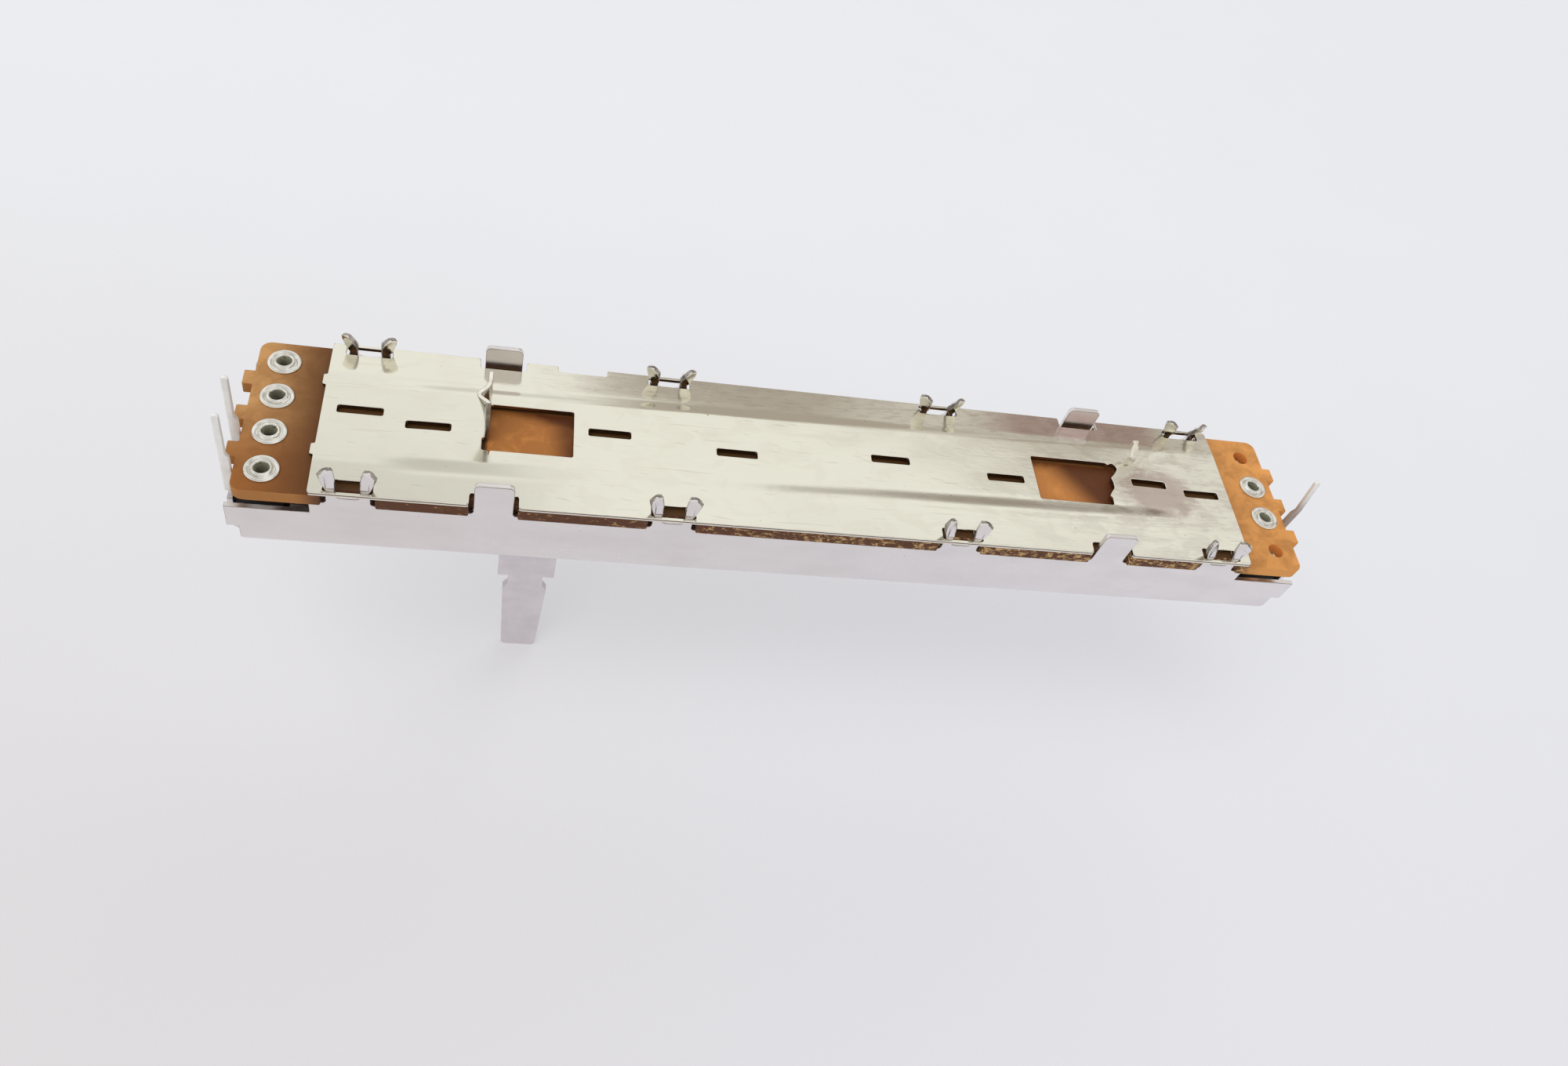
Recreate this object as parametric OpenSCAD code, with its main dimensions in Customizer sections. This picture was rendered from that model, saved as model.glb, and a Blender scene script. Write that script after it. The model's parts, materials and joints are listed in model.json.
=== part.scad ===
// Slide potentiometer with a straight 100 mm travel: a folded steel channel with a flat lever
// below, a resistor board laid on the channel's walls and a pressed cover crimped over the board.
// X runs along the travel, Z points away from the panel, and z = 0 is the face that meets the panel.

/* [Travel] */
// Distance that the lever travels
travel = 100; // [80:1:120]
// Room past each end of the travel, up to the end of the channel
end_room = 14; // [13:0.5:18]
// Where the lever stands, from the middle of its travel
rest_x = -31.8; // [-40:0.1:40]

/* [Channel] */
// Width over the channel's side walls
frame_w = 20.7; // [19.5:0.1:24]
// Sheet thickness of the channel
frame_sheet = 0.6; // [0.5:0.05:0.8]
// Height from the panel face to the cover's rim
case_h = 10.2; // [9.5:0.1:12]
// Outside radius of the folds
bend_r = 1.1; // [1:0.05:1.4]
// Drop of the wall's end sections below the board's seat
end_drop = 1.9; // [1:0.1:2.5]
// Length of the corner relief along the channel
relief_len = 2.4; // [2:0.1:3]
// Height of the corner relief
relief_h = 2.9; // [2.5:0.1:4]
// Width of the slot that the lever runs in
lever_slot_w = 2; // [1.8:0.1:3]
// Free length of the lever slot past the lever's edge at each limit
lever_slot_spare = 0.6; // [0.3:0.1:2]

/* [Fixing] */
// Distance from the channel's end to a panel screw
screw_inset = 4.5; // [4:0.1:6]
// Core diameter of the tapped screw holes
screw_core_d = 2.5; // [2:0.1:3]
// Distance from the cover's end to the middle of an earth tab
tab_inset = 18.9; // [17:0.1:21]
// Width of an earth tab
tab_w = 4.2; // [3.5:0.1:5]
// Height of the earth tabs above the cover's rim
tab_h = 2.75; // [2:0.05:4]
// Corner radius of the earth tabs
tab_r = 0.6; // [0.4:0.05:0.9]
// Fillet where a crimp or a tab rises from the board's seat
step_r = 0.45; // [0.3:0.05:0.6]

/* [Crimps] */
// Distance from the cover's end to the first crimp
crimp_inset = 4; // [3.5:0.05:5]
// Crimps on each side wall
crimp_count = 4; // [3:1:5]
// Width of the wall under a crimp
crimp_w = 4.5; // [4.4:0.1:5.2]
// Gap between the two prongs of a crimp
crimp_gap = 2.6; // [2:0.1:2.7]
// Depth of the gap below the cover
crimp_gap_depth = 0.7; // [0.65:0.05:1]
// Width of a prong where it passes the cover
prong_w = 0.85; // [0.7:0.05:0.85]
// Width of a prong's spread ear
ear_w = 1.5; // [1.1:0.05:1.6]
// Length of a spread ear
ear_len = 2.3; // [1.8:0.05:3]
// Outward lean of the ears along the wall in degrees
ear_lean = 12; // [5:1:20]
// Inward lean of the ears over the cover in degrees
ear_tip = 10; // [0:1:15]
// Twist of the ears out of the wall's plane in degrees
ear_turn = 35; // [0:1:45]

/* [Cover] */
// Distance from the channel's end to the cover's end
cover_inset = 8.5; // [7.5:0.1:10]
// Sheet thickness of the cover
cover_sheet = 0.5; // [0.4:0.05:0.6]
// Overhang of the cover past each side wall
cover_overhang = 0.4; // [0.3:0.05:0.6]
// Distance from the cover's end to the foot of its raised panel
panel_inset = 8.1; // [6.8:0.1:9]
// Width over the foot of the raised panel
panel_w = 12; // [10:0.1:13]
// Sideways shift of the raised panel towards the far wall
panel_shift = 0.6; // [0:0.1:1]
// Height of the raised panel above the rim
panel_rise = 0.45; // [0.2:0.05:0.6]
// Width of the raised panel's slope
panel_slope = 1.4; // [0.8:0.1:1.6]
// Distances of the narrow slots from the cover's end
vent_insets = [4, 11.3, 31.2, 46]; // [2:0.1:50]
// Length of a narrow slot
vent_len = 4.85; // [4:0.05:5.5]
// Width of a narrow slot
vent_w = 1.1; // [0.8:0.1:1.4]
// Sideways shift of the narrow slots, left and right in turn
vent_shift = 0.6; // [0:0.1:1]
// Further shift of the two outermost slots towards the far wall
end_vent_shift = 0.3; // [0:0.1:0.5]
// Distance from the cover's end to the middle of a window
window_inset = 22.1; // [20.5:0.1:24]
// Length of a window
window_len = 10; // [8:0.1:11]
// Width of a window
window_w = 6.7; // [5:0.1:8]
// Width of the earth lug that is cut from a window
lug_w = 4.9; // [4:0.1:6]
// Height of the whole earth lug
lug_h = 6; // [4:0.1:8]
// Length of the cut beside the earth lug's root
lug_relief = 0.75; // [0.6:0.05:1.2]
// Sideways crumple of the earth lug's top edge
lug_crumple = 1; // [0:0.1:1.6]
// Height of the scrap that a torn lug leaves
scrap_h = 2.8; // [2:0.1:5]
// Gap on each side of an earth tab in the cover
tab_gap = 0.5; // [0.3:0.05:0.8]
// Play of a prong in its slot along the cover
slot_play = 0.35; // [0.25:0.05:0.5]
// Play of a prong in its slot towards the cover's middle
slot_room = 0.45; // [0.3:0.05:0.6]
// Depth of the cover's notches for the earth tabs
tab_notch = 1.55; // [1.4:0.05:2]
// Depth of the key step in the cover's far edge
key_depth = 0.95; // [0.6:0.05:1.2]
// Length of the key step
key_len = 5.7; // [4:0.1:8]
// Distance from the cover's end to the middle of the key step
key_inset = 28.05; // [26:0.05:30]
// Width of the stubs that joined the cover's left end to its strip
stub_w = 1.5; // [1.2:0.1:2.5]
// Length of the stubs
stub_len = 0.4; // [0.2:0.05:0.8]
// Distance of the stubs from the centreline
stub_y = 5; // [4:0.1:6]

/* [Board] */
// Thickness of the resistor board
board_t = 1.6; // [1.2:0.1:2]
// Mean overhang of the board past the side walls
board_overhang = 0.22; // [0.2:0.01:0.3]
// Sideways shift of the board and its eyelets towards the near wall
board_shift = 0.18; // [0:0.01:0.2]
// Distance from the channel's end to the board's end
board_setback = 0.9; // [0.7:0.1:1.4]
// Corner radius of the board
board_r = 1.2; // [0.8:0.1:2]
// Play between the board's edge notches and the fillets of the wall
notch_play = 0.05; // [0.02:0.01:0.2]
// Pitch of the eyelets across the board
eyelet_pitch = 5.08; // [4.6:0.02:5.4]
// Distance from the board's end to the eyelets
eyelet_inset = 2.8; // [2.6:0.1:3.2]
// Width of the teeth on the board's ends
tooth_w = 2; // [1.4:0.1:2.2]
// Length of the teeth
tooth_len = 1.1; // [0.6:0.1:1.3]
// Width of a printed track
track_w = 2.6; // [2.3:0.1:3]
// Thickness of a printed track
track_t = 0.05; // [0.03:0.01:0.1]

/* [Eyelets and terminals] */
// Outside diameter of an eyelet's barrel
barrel_d = 1.9; // [1.8:0.1:2.1]
// Hole through an eyelet
eyelet_bore_d = 1.5; // [1.2:0.05:1.55]
// Diameter of an eyelet's rolled head
eyelet_head_d = 3.7; // [3.2:0.1:4]
// Height of an eyelet's rolled head
eyelet_head_h = 0.4; // [0.25:0.05:0.5]
// Diameter of an eyelet's turned lower lip
eyelet_lip_d = 2.8; // [2.4:0.1:3.2]
// Sheet thickness of the terminals
pin_sheet = 0.5; // [0.4:0.05:0.6]
// Width of a pin beside the board
pin_root_w = 1.1; // [1:0.05:1.6]
// Width of a pin's solder end
pin_w = 0.8; // [0.6:0.05:1]
// Height of a pin's shoulder above the cover's rim
shoulder_h = 1.2; // [0.6:0.1:2]
// Height of a pin's tip above the cover's rim
pin_h = 7.7; // [5:0.1:10]
// Depth of a terminal's web below the board
web_drop = 2.3; // [2:0.1:2.4]
// Width of a terminal's foot
foot_w = 3.4; // [3:0.1:3.8]
// Inward lean of the right-hand pin in degrees
right_lean = 8; // [0:1:12]

/* [Guide] */
// Diameter of the guide shafts
shaft_d = 2; // [1.6:0.1:2.2]
// Distance from the wall's inside to a shaft's axis
shaft_inset = 3.25; // [3:0.05:3.5]
// Distance from the board's underside down to the shaft's axis
shaft_drop = 4.2; // [4:0.1:4.5]
// Steel left over a shaft hole in the channel's end
shaft_cap = 0.5; // [0.4:0.05:0.6]
// Radial fit of a shaft in the channel's ends and in the bumpers
shaft_fit = 0.02; // [0.01:0.01:0.05]
// Radial running clearance of the carriage on the shafts
run_fit = 0.05; // [0.02:0.01:0.1]
// Diameter of the rubber bumpers
bumper_d = 3.4; // [3:0.1:3.6]
// Gap between the carriage and a bumper at the end of the travel
stop_gap = 0.2; // [0.1:0.05:0.5]

/* [Slider] */
// Length of the carriage
carriage_len = 16; // [14:0.5:17]
// Gap between the carriage and the channel's floor
floor_gap = 0.6; // [0.4:0.05:0.8]
// Width of the carriage's middle block
carriage_w = 9.6; // [9:0.1:10.4]
// Outside diameter of the carriage's shaft sleeves
sleeve_d = 4; // [3.6:0.1:4.2]
// Length of a shaft sleeve
sleeve_len = 4.5; // [3:0.1:6]
// Thickness of the lever
lever_t = 1; // [1:0.05:1.4]
// Width of the lever's stem
lever_w = 7.2; // [6:0.1:8]
// Length of the stem below the panel face
stem_len = 17.9; // [12:0.1:24]
// Width of the neck below the stem
neck_w = 4.4; // [3.6:0.1:5]
// Length of the neck, with the slope of the blade's shoulders
neck_len = 2.9; // [2:0.1:4]
// Height of the slope of the blade's shoulders
neck_slope = 1; // [0.5:0.1:1.5]
// Width of the knob blade at the neck
blade_w = 5.65; // [5:0.05:6.5]
// Width of the knob blade at its tip
tip_w = 4.65; // [3.2:0.05:5]
// Length of the knob blade
blade_len = 14.2; // [10:0.1:18]
// Width of the lever's head inside the carriage
head_w = 10; // [9:0.1:11]
// Height of the lever's head
head_h = 1.5; // [1:0.1:1.8]
// Fit of the lever in the carriage
lever_fit = 0.03; // [0.01:0.01:0.06]
// Sheet thickness of the wiper and of the friction springs
spring_sheet = 0.2; // [0.15:0.01:0.25]
// Fingers of the wiper on each track
finger_count = 3; // [2:1:3]
// Width of a wiper finger
finger_w = 0.5; // [0.4:0.05:0.55]
// Gap between two wiper fingers
finger_gap = 0.25; // [0.2:0.05:0.3]
// Clearance between a finger's contact and its track
contact_gap = 0.03; // [0.02:0.01:0.05]
// Diameter of the pegs that hold the wiper
peg_d = 1.1; // [0.9:0.05:1.3]
// Length of a friction spring
bow_len = 11; // [8:0.5:12]
// Width of a friction spring
bow_w = 2.4; // [1.8:0.1:2.6]

/* [Hidden] */
$fn = 48;
// Overshoot of a cut, and a hair's breadth that overlaps solids of one piece or parts two pieces
over = 1;
hair = 0.1;

// Channel
frame_len = travel + 2 * end_room;
frame_end = frame_len / 2;
wall_out = frame_w / 2;
wall_in = wall_out - frame_sheet;
rim_z = case_h;
cover_z = rim_z - cover_sheet;
seat_h = cover_z - board_t;
end_top = seat_h - end_drop;
flap_half = wall_in - bend_r;
flap_in = frame_end - frame_sheet;
slot_end = travel / 2 + lever_w / 2 + lever_slot_spare;

// Cover
cover_end = frame_end - cover_inset;
cover_half = wall_out + cover_overhang;
panel_end = cover_end - panel_inset;
panel_half = panel_w / 2;
panel_r = 0.8;
panel_facets = 32;
panel_under = cover_z + panel_rise;
tab_x = cover_end - tab_inset;
window_x = cover_end - window_inset;
window_end = window_x + window_len / 2;
window_half = window_w / 2;
lug_x = window_end - lug_relief;
key_x = key_inset - cover_end;
scrap_w = 1;
scrap_away = [3.4, 0.5];
scrap_lean = 1.3;
lug_kink = 2.4;
lug_columns = 12;
lug_rows = 6;
petal_columns = 4;
petal_rows = 5;

// Crimps
crimp_end = cover_end - crimp_inset;
crimp_xs = [for (i = [0:crimp_count - 1]) crimp_end * (2 * i / (crimp_count - 1) - 1)];
prong_x = (crimp_gap + prong_w) / 2;
prong_proud = 0.35;
ear_root = 0.2;
ear_round = 0.45;
ear_mid = wall_out - frame_sheet / 2;
slot_half = crimp_gap / 2 + prong_w + slot_play;
slot_in = wall_in - slot_room;
slot_out = wall_out + notch_play;

// Board, eyelets and terminals
board_end = frame_end - board_setback;
board_half = wall_out + board_overhang;
notch_room = step_r + notch_play;
eyelet_x = board_end - eyelet_inset;
eyelet_rows = 4;
eyelet_ys = [for (i = [0:eyelet_rows - 1]) ((eyelet_rows - 1) / 2 - i) * eyelet_pitch - board_shift];
inner_y = eyelet_ys[2];
outer_y = eyelet_ys[3];
foot_r = foot_w / 2;
track_end = eyelet_x - foot_r - hair;
web_in = eyelet_x + foot_r;
pin_in = board_end + hair;
pin_out = pin_in + pin_root_w;
shoulder_z = rim_z + shoulder_h;
shoulder_slope = 0.6;

// Guide
shaft_z = seat_h - shaft_drop;
shaft_y = wall_in - shaft_inset;
shaft_proud = 0.2;
shaft_chamfer = 0.2;
flap_top = shaft_z + shaft_d / 2 + shaft_cap;
stop_x = travel / 2 + carriage_len / 2 + stop_gap;
bumper_chamfer = 0.3;

// Slider
sleeve_r = sleeve_d / 2;
floor_z = frame_sheet + floor_gap;
deck_z = shaft_z + sleeve_r;
head_z = deck_z - head_h;
neck_z = -stem_len - neck_len;
tip_z = neck_z - blade_len;
tip_chamfer = 0.4;
web_half = 0.9;

// Wiper and friction springs
brush_z = deck_z + spring_sheet;
contact_z = seat_h - track_t - contact_gap;
bar_setback = 1;
bar_w = 3.6;
bar_spare = 0.3;
bar_in = bar_setback - carriage_len / 2;
bar_out = bar_in + bar_w;
keeper_past = 1;
keeper_lap = 0.4;
keeper_far = 2.8;
keeper_out = head_w / 2 + keeper_past;
keeper_near = lever_t / 2 + keeper_lap;
finger_slope = 13;
curl_r = 0.9;
curl_step = 12;
curl_stop = 10;
curl_rise = contact_z - curl_r * (1 - cos(finger_slope)) - brush_z;
curl_x = bar_out + curl_rise / tan(finger_slope) + curl_r * sin(finger_slope);
comb_half = (finger_count * finger_w + (finger_count - 1) * finger_gap) / 2;
peg_rim = 0.4;
peg_head_d = peg_d + 2 * peg_rim;
peg_head_h = 0.45;
peg_back = 1.4;
peg_far = 1.7;
peg_near = -4;
peg_bar = bar_in + bar_w / 2;
pegs = [[peg_bar, peg_far], [keeper_out - peg_back, peg_far], [peg_bar, peg_near]];
bow_away = 0.6;
bow_recess = 0.5;
bow_facets = 240;
bow_y = lever_slot_w / 2 + bow_away + bow_w / 2;
bow_low = frame_sheet + contact_gap;
bow_seat = floor_z + bow_recess;
bow_sag = bow_seat - bow_low - spring_sheet;
bow_r = (bow_len * bow_len / 4 + bow_sag * bow_sag) / (2 * bow_sag);

// A box between two opposite corners
module block(low, high) {
    translate(low)
        cube(high - low);
}

// A rectangle between two opposite corners
module patch(low, high) {
    translate(low)
        square(high - low);
}

// An outline in X and Z carried across the part from y0 to y1
module across(y0, y1) {
    translate([0, y1, 0])
        rotate([90, 0, 0])
            linear_extrude(y1 - y0)
                children();
}

// An outline in Y and Z carried along the part from x0 to x1
module along(x0, x1) {
    translate([x0, 0, 0])
        rotate([90, 0, 90])
            linear_extrude(x1 - x0)
                children();
}

// A round solid lying along X, from x0 to x1 on the axis at y and z
module rod(x0, x1, y, z, d) {
    translate([x0, y, z])
        rotate([0, 90, 0])
            cylinder(d = d, h = x1 - x0);
}

// The same shape at both ends
module both_ends() {
    children();
    mirror([1, 0, 0])
        children();
}

// The same shape on both sides
module both_sides() {
    children();
    mirror([0, 1, 0])
        children();
}

// The filling of an inside corner of radius r, with its corner at the origin
module corner_fill(r) {
    difference() {
        square(r);
        translate([r, r])
            circle(r);
    }
}

// A channel's section of half width w with its lower corners rounded
module trough(w, low, top, r) {
    patch([-w, low + r], [w, top]);
    patch([r - w, low], [w - r, low + r + hair]);
    both_ends()
        translate([w - r, low + r])
            circle(r);
}

// A strip of the wall that rises from the board's seat, filleted at its foot
module riser(w, top) {
    patch([-w / 2, seat_h - hair], [w / 2, top]);
    both_ends()
        translate([w / 2, seat_h])
            corner_fill(step_r);
}

// An earth tab's outline with rounded top corners
module tab_outline() {
    top = rim_z + tab_h;
    riser(tab_w, top - tab_r);
    patch([tab_r - tab_w / 2, seat_h], [tab_w / 2 - tab_r, top]);
    both_ends()
        translate([tab_w / 2 - tab_r, top - tab_r])
            circle(tab_r);
}

// A crimp's outline, up to where its two prongs leave the cover
module crimp_outline() {
    gap_r = crimp_gap / 4;
    gap_z = cover_z - crimp_gap_depth + gap_r;
    difference() {
        riser(crimp_w, cover_z);
        patch([-crimp_gap / 2, gap_z], [crimp_gap / 2, cover_z + over]);
        patch([-gap_r, gap_z - gap_r], [gap_r, cover_z + over]);
        both_ends()
            translate([gap_r, gap_z])
                circle(gap_r);
    }
    both_ends()
        patch([prong_x - prong_w / 2, cover_z - hair], [prong_x + prong_w / 2, rim_z + prong_proud]);
}

// The cut-away lower corner of a side wall
module relief_outline() {
    step = relief_len / 2;
    patch([frame_end - step, -over], [frame_end + over, relief_h]);
    translate([frame_end - step, 0])
        mirror([1, 0, 0])
            corner_fill(step);
}

// The side wall seen square on, with its steps, crimps, tabs and corner reliefs
module wall_outline() {
    difference() {
        union() {
            patch([-frame_end, 0], [frame_end, end_top]);
            patch([-cover_end, 0], [cover_end, seat_h]);
            for (x = crimp_xs)
                translate([x, 0])
                    crimp_outline();
            both_ends()
                translate([tab_x, 0])
                    tab_outline();
        }
        both_ends()
            relief_outline();
    }
}

// A spread ear on the far wall, on the side s of its crimp: a petal that twists, widens and leans
function ear_point(s, u, v, k) =
    let(
        twist = s * ear_turn * v,
        rise = ear_len * v,
        side = (u - 0.5) * (prong_w + (ear_w - prong_w) * sin(90 * v)),
        skin = k * frame_sheet / 2
    )
    [
        s * (prong_x + rise * tan(ear_lean)) + side * cos(twist) - skin * sin(twist),
        ear_mid - rise * tan(ear_tip) + side * sin(twist) + skin * cos(twist),
        rim_z + ear_root + rise - ear_round * v * pow(2 * u - 1, 2)
    ];

// The two ears of one crimp on the far wall
module ears() {
    for (s = [-1, 1])
        leaf(function(u, v, k) ear_point(s, u, v, k), petal_columns, petal_rows);
}

// The floor's end, folded up to carry the shafts
module end_flap() {
    floor_in = frame_end - relief_len - over;
    across(-flap_half, flap_half) {
        difference() {
            patch([floor_in, 0], [frame_end, flap_top]);
            patch([floor_in - over, frame_sheet], [flap_in, flap_top + over]);
            translate([frame_end, 0])
                mirror([1, 0, 0])
                    corner_fill(bend_r);
        }
        translate([flap_in, frame_sheet])
            mirror([1, 0, 0])
                corner_fill(bend_r - frame_sheet);
    }
}

// Folded channel: floor with the lever slot, castellated walls, crimps, earth tabs and end flaps
module frame_channel() {
    top = rim_z + tab_h + over;
    color("lightgray") {
        difference() {
            union() {
                intersection() {
                    along(-frame_end, frame_end)
                        difference() {
                            trough(wall_out, 0, top, bend_r);
                            trough(wall_in, frame_sheet, top + over, bend_r - frame_sheet);
                        }
                    across(-frame_w, frame_w)
                        wall_outline();
                }
                both_ends()
                    end_flap();
            }
            block([-slot_end, -lever_slot_w / 2, -over], [slot_end, lever_slot_w / 2, frame_sheet + over]);
            both_ends()
                translate([frame_end - screw_inset, 0, -over])
                    cylinder(d = screw_core_d, h = frame_sheet + 2 * over);
            both_ends()
                both_sides()
                    rod(flap_in - over, frame_end + over, shaft_y, shaft_z, shaft_d + 2 * shaft_fit);
        }
        both_sides()
            for (x = crimp_xs)
                translate([x, 0, 0])
                    ears();
    }
}

// The pressed panel as a solid: a low block with sloped sides and rounded corners
module panel_solid() {
    foot_reach = panel_slope + panel_r;
    corner_x = panel_end - foot_reach;
    corner_y = panel_half - foot_reach;
    hull()
        for (x = [-corner_x, corner_x], y = [panel_shift - corner_y, panel_shift + corner_y])
            translate([x, y, cover_z])
                cylinder(r1 = foot_reach, r2 = panel_r, h = cover_sheet + panel_rise, $fn = panel_facets);
}

// The cover's outline, with its notches for the tabs, its key step and its strip stubs
module cover_outline() {
    difference() {
        union() {
            square([2 * cover_end, 2 * cover_half], center = true);
            for (y = [-stub_y, stub_y])
                translate([-cover_end, y])
                    square([2 * stub_len, stub_w], center = true);
        }
        for (x = [-1, 1], y = [-1, 1])
            translate([x * tab_x, y * cover_half])
                square([tab_w + 2 * tab_gap, 2 * tab_notch], center = true);
        translate([key_x, cover_half])
            square([key_len, 2 * key_depth], center = true);
    }
}

// The narrow slots, the windows and the crimps' slots
module cover_openings() {
    for (i = [0:len(vent_insets) - 1], s = [-1, 1]) {
        turn = i % 2 == 0 ? -s : s;
        further = i == 0 ? end_vent_shift : 0;
        translate([s * (cover_end - vent_insets[i]), turn * vent_shift + further])
            square([vent_len, vent_w], center = true);
    }
    patch([-lug_x, -window_half], [window_len - window_end, window_half]);
    patch([-window_end, -window_half], [hair - lug_x, window_half - lug_w]);
    patch([window_end - window_len, -window_half], [window_end, window_half]);
    translate([window_end, 0])
        torn_edge();
    for (x = crimp_xs, s = [-1, 1])
        translate([x, s * (slot_in + slot_out) / 2])
            square([2 * slot_half, slot_out - slot_in], center = true);
}

// What tearing off a lug leaves of its window's edge
module torn_edge() {
    bite = lug_relief / 2;
    polygon([
        [-bite, -window_half], [bite, -window_half], [0, -window_half / 2], [bite, 0],
        [0, window_half / 3], [bite, window_half / 2], [2 * bite, window_half], [-bite, window_half]
    ]);
}

// A thin leaf over a grid: at(u, v, k) gives a point across and up it, on its back (k = -1) or front
module leaf(at, columns, rows) {
    step = columns + 1;
    back = step * (rows + 1);
    ring = concat(
        [for (i = [0:columns]) i],
        [for (j = [1:rows]) j * step + columns],
        [for (i = [1:columns]) rows * step + columns - i],
        [for (j = [1:rows - 1]) (rows - j) * step]
    );
    sides = [for (k = [0:len(ring) - 1]) [ring[k], ring[(k + 1) % len(ring)]]];
    cells = [for (j = [0:rows - 1], i = [0:columns - 1]) j * step + i];
    polyhedron(
        points = [for (k = [-1, 1], j = [0:rows], i = [0:columns]) at(i / columns, j / rows, k)],
        faces = concat(
            [for (c = cells) [c, c + step, c + 1]],
            [for (c = cells) [c + 1, c + step, c + step + 1]],
            [for (c = cells) [back + c, back + c + 1, back + c + step]],
            [for (c = cells) [back + c + 1, back + c + step + 1, back + c + step]],
            [for (s = sides) [s[0], s[1], back + s[0]]],
            [for (s = sides) [s[1], back + s[1], back + s[0]]]
        )
    );
}

// The whole earth lug: bent up at its window's edge, with its top edge crumpled
function lug_point(u, v, k) = [
    (k - 1) * cover_sheet / 2 - lug_x - lug_crumple * v * v * (1 - cos(360 * pow(u, lug_kink))) / 2,
    window_half - lug_w * u,
    panel_under + hair + v * (lug_h - hair)
];

// The scrap of the torn lug: a narrow blade that curls away from its window
function scrap_point(u, v, k) = [
    window_end + scrap_away[0] + scrap_w * (u - 0.5) * (1 - v / 2),
    window_half + scrap_away[1] + scrap_lean * v * v + k * cover_sheet / 2,
    panel_under + hair + v * (scrap_h - hair)
];

// Pressed cover: rim, raised panel, slots, windows and what is left of the two earth lugs
module cover_plate() {
    color("gainsboro") {
        difference() {
            union() {
                translate([0, 0, cover_z])
                    linear_extrude(cover_sheet)
                        cover_outline();
                panel_solid();
            }
            translate([0, 0, -cover_sheet])
                panel_solid();
            translate([0, 0, cover_z - over])
                linear_extrude(3 * over)
                    cover_openings();
        }
        leaf(function(u, v, k) lug_point(u, v, k), lug_columns, lug_rows);
        leaf(function(u, v, k) scrap_point(u, v, k), petal_columns, petal_rows);
    }
}

// The board's outline with round corners and toothed ends
module board_outline() {
    patch([-board_end, board_r - board_half], [board_end, board_half - board_r]);
    patch([board_r - board_end, -board_half], [board_end - board_r, board_half]);
    for (x = [-1, 1], y = [-1, 1])
        translate([x * (board_end - board_r), y * (board_half - board_r)])
            circle(board_r);
    for (x = [-1, 1], y = [-1:1])
        translate([x * board_end, y * eyelet_pitch])
            square([2 * tooth_len, tooth_w], center = true);
}

// A notch in the board's edge for a part of the wall of width w
module edge_notch(w) {
    patch([-w / 2 - notch_room, wall_in - hair], [w / 2 + notch_room, board_half + over]);
}

// Resistor board: laminate with edge notches for the wall and a row of eyelet holes at each end
module resistor_board() {
    color("peru")
        translate([0, 0, seat_h])
            linear_extrude(board_t)
                difference() {
                    translate([0, -board_shift])
                        board_outline();
                    both_sides() {
                        for (x = crimp_xs)
                            translate([x, 0])
                                edge_notch(crimp_w);
                        both_ends()
                            translate([tab_x, 0])
                                edge_notch(tab_w);
                    }
                    translate([key_x, board_half])
                        square([key_len, 2 * key_depth], center = true);
                    for (x = [-1, 1], y = eyelet_ys)
                        translate([x * eyelet_x, y])
                            circle(d = barrel_d + 2 * shaft_fit);
                }
}

// A track printed on the board's underside at y, from the left terminal to the right end
module track(y) {
    block([-track_end, y - track_w / 2, seat_h - track_t], [track_end, y + track_w / 2, seat_h]);
}

// Resistive track under the two inner terminals' row
module resistive_track() {
    color("dimgray")
        track(inner_y);
}

// Collector track under the outer terminal's row
module collector_track() {
    color("silver")
        track(outer_y);
}

// A pin's outline: root beside the board, sloped shoulder and a solder end that leans inwards
module pin_outline(lean) {
    pin_mid = pin_out - pin_w / 2;
    knuckle_z = shoulder_z + shoulder_slope;
    tip_up = rim_z + pin_h - knuckle_z - pin_w / 2;
    polygon([
        [web_in, seat_h - web_drop], [pin_out, seat_h - web_drop], [pin_out, knuckle_z],
        [pin_out - pin_w, knuckle_z], [pin_in, shoulder_z], [pin_in, seat_h], [web_in, seat_h]
    ]);
    translate([pin_mid, knuckle_z])
        rotate(lean) {
            circle(d = pin_w);
            patch([-pin_w / 2, 0], [pin_w / 2, tip_up]);
            translate([0, tip_up])
                circle(d = pin_w);
        }
}

// A terminal at the right end in the row at y: foot under the board, web folded down, pin
module terminal(y, lean) {
    color("whitesmoke") {
        translate([0, 0, seat_h - pin_sheet])
            linear_extrude(pin_sheet)
                difference() {
                    union() {
                        translate([eyelet_x, y])
                            circle(foot_r);
                        patch([eyelet_x, y - foot_r], [web_in - hair, y + foot_r]);
                        patch([eyelet_x, y], [board_end - hair, y + foot_r]);
                    }
                    translate([eyelet_x, y])
                        circle(d = barrel_d + 2 * shaft_fit);
                }
        across(y - pin_sheet / 2, y + pin_sheet / 2)
            pin_outline(lean);
    }
}

// Terminal of the resistive track's left end
module terminal_left_inner() {
    mirror([1, 0, 0])
        terminal(inner_y, 0);
}

// Terminal of the collector track
module terminal_left_outer() {
    mirror([1, 0, 0])
        terminal(outer_y, 0);
}

// Terminal of the resistive track's right end
module terminal_right() {
    terminal(inner_y, right_lean);
}

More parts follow.
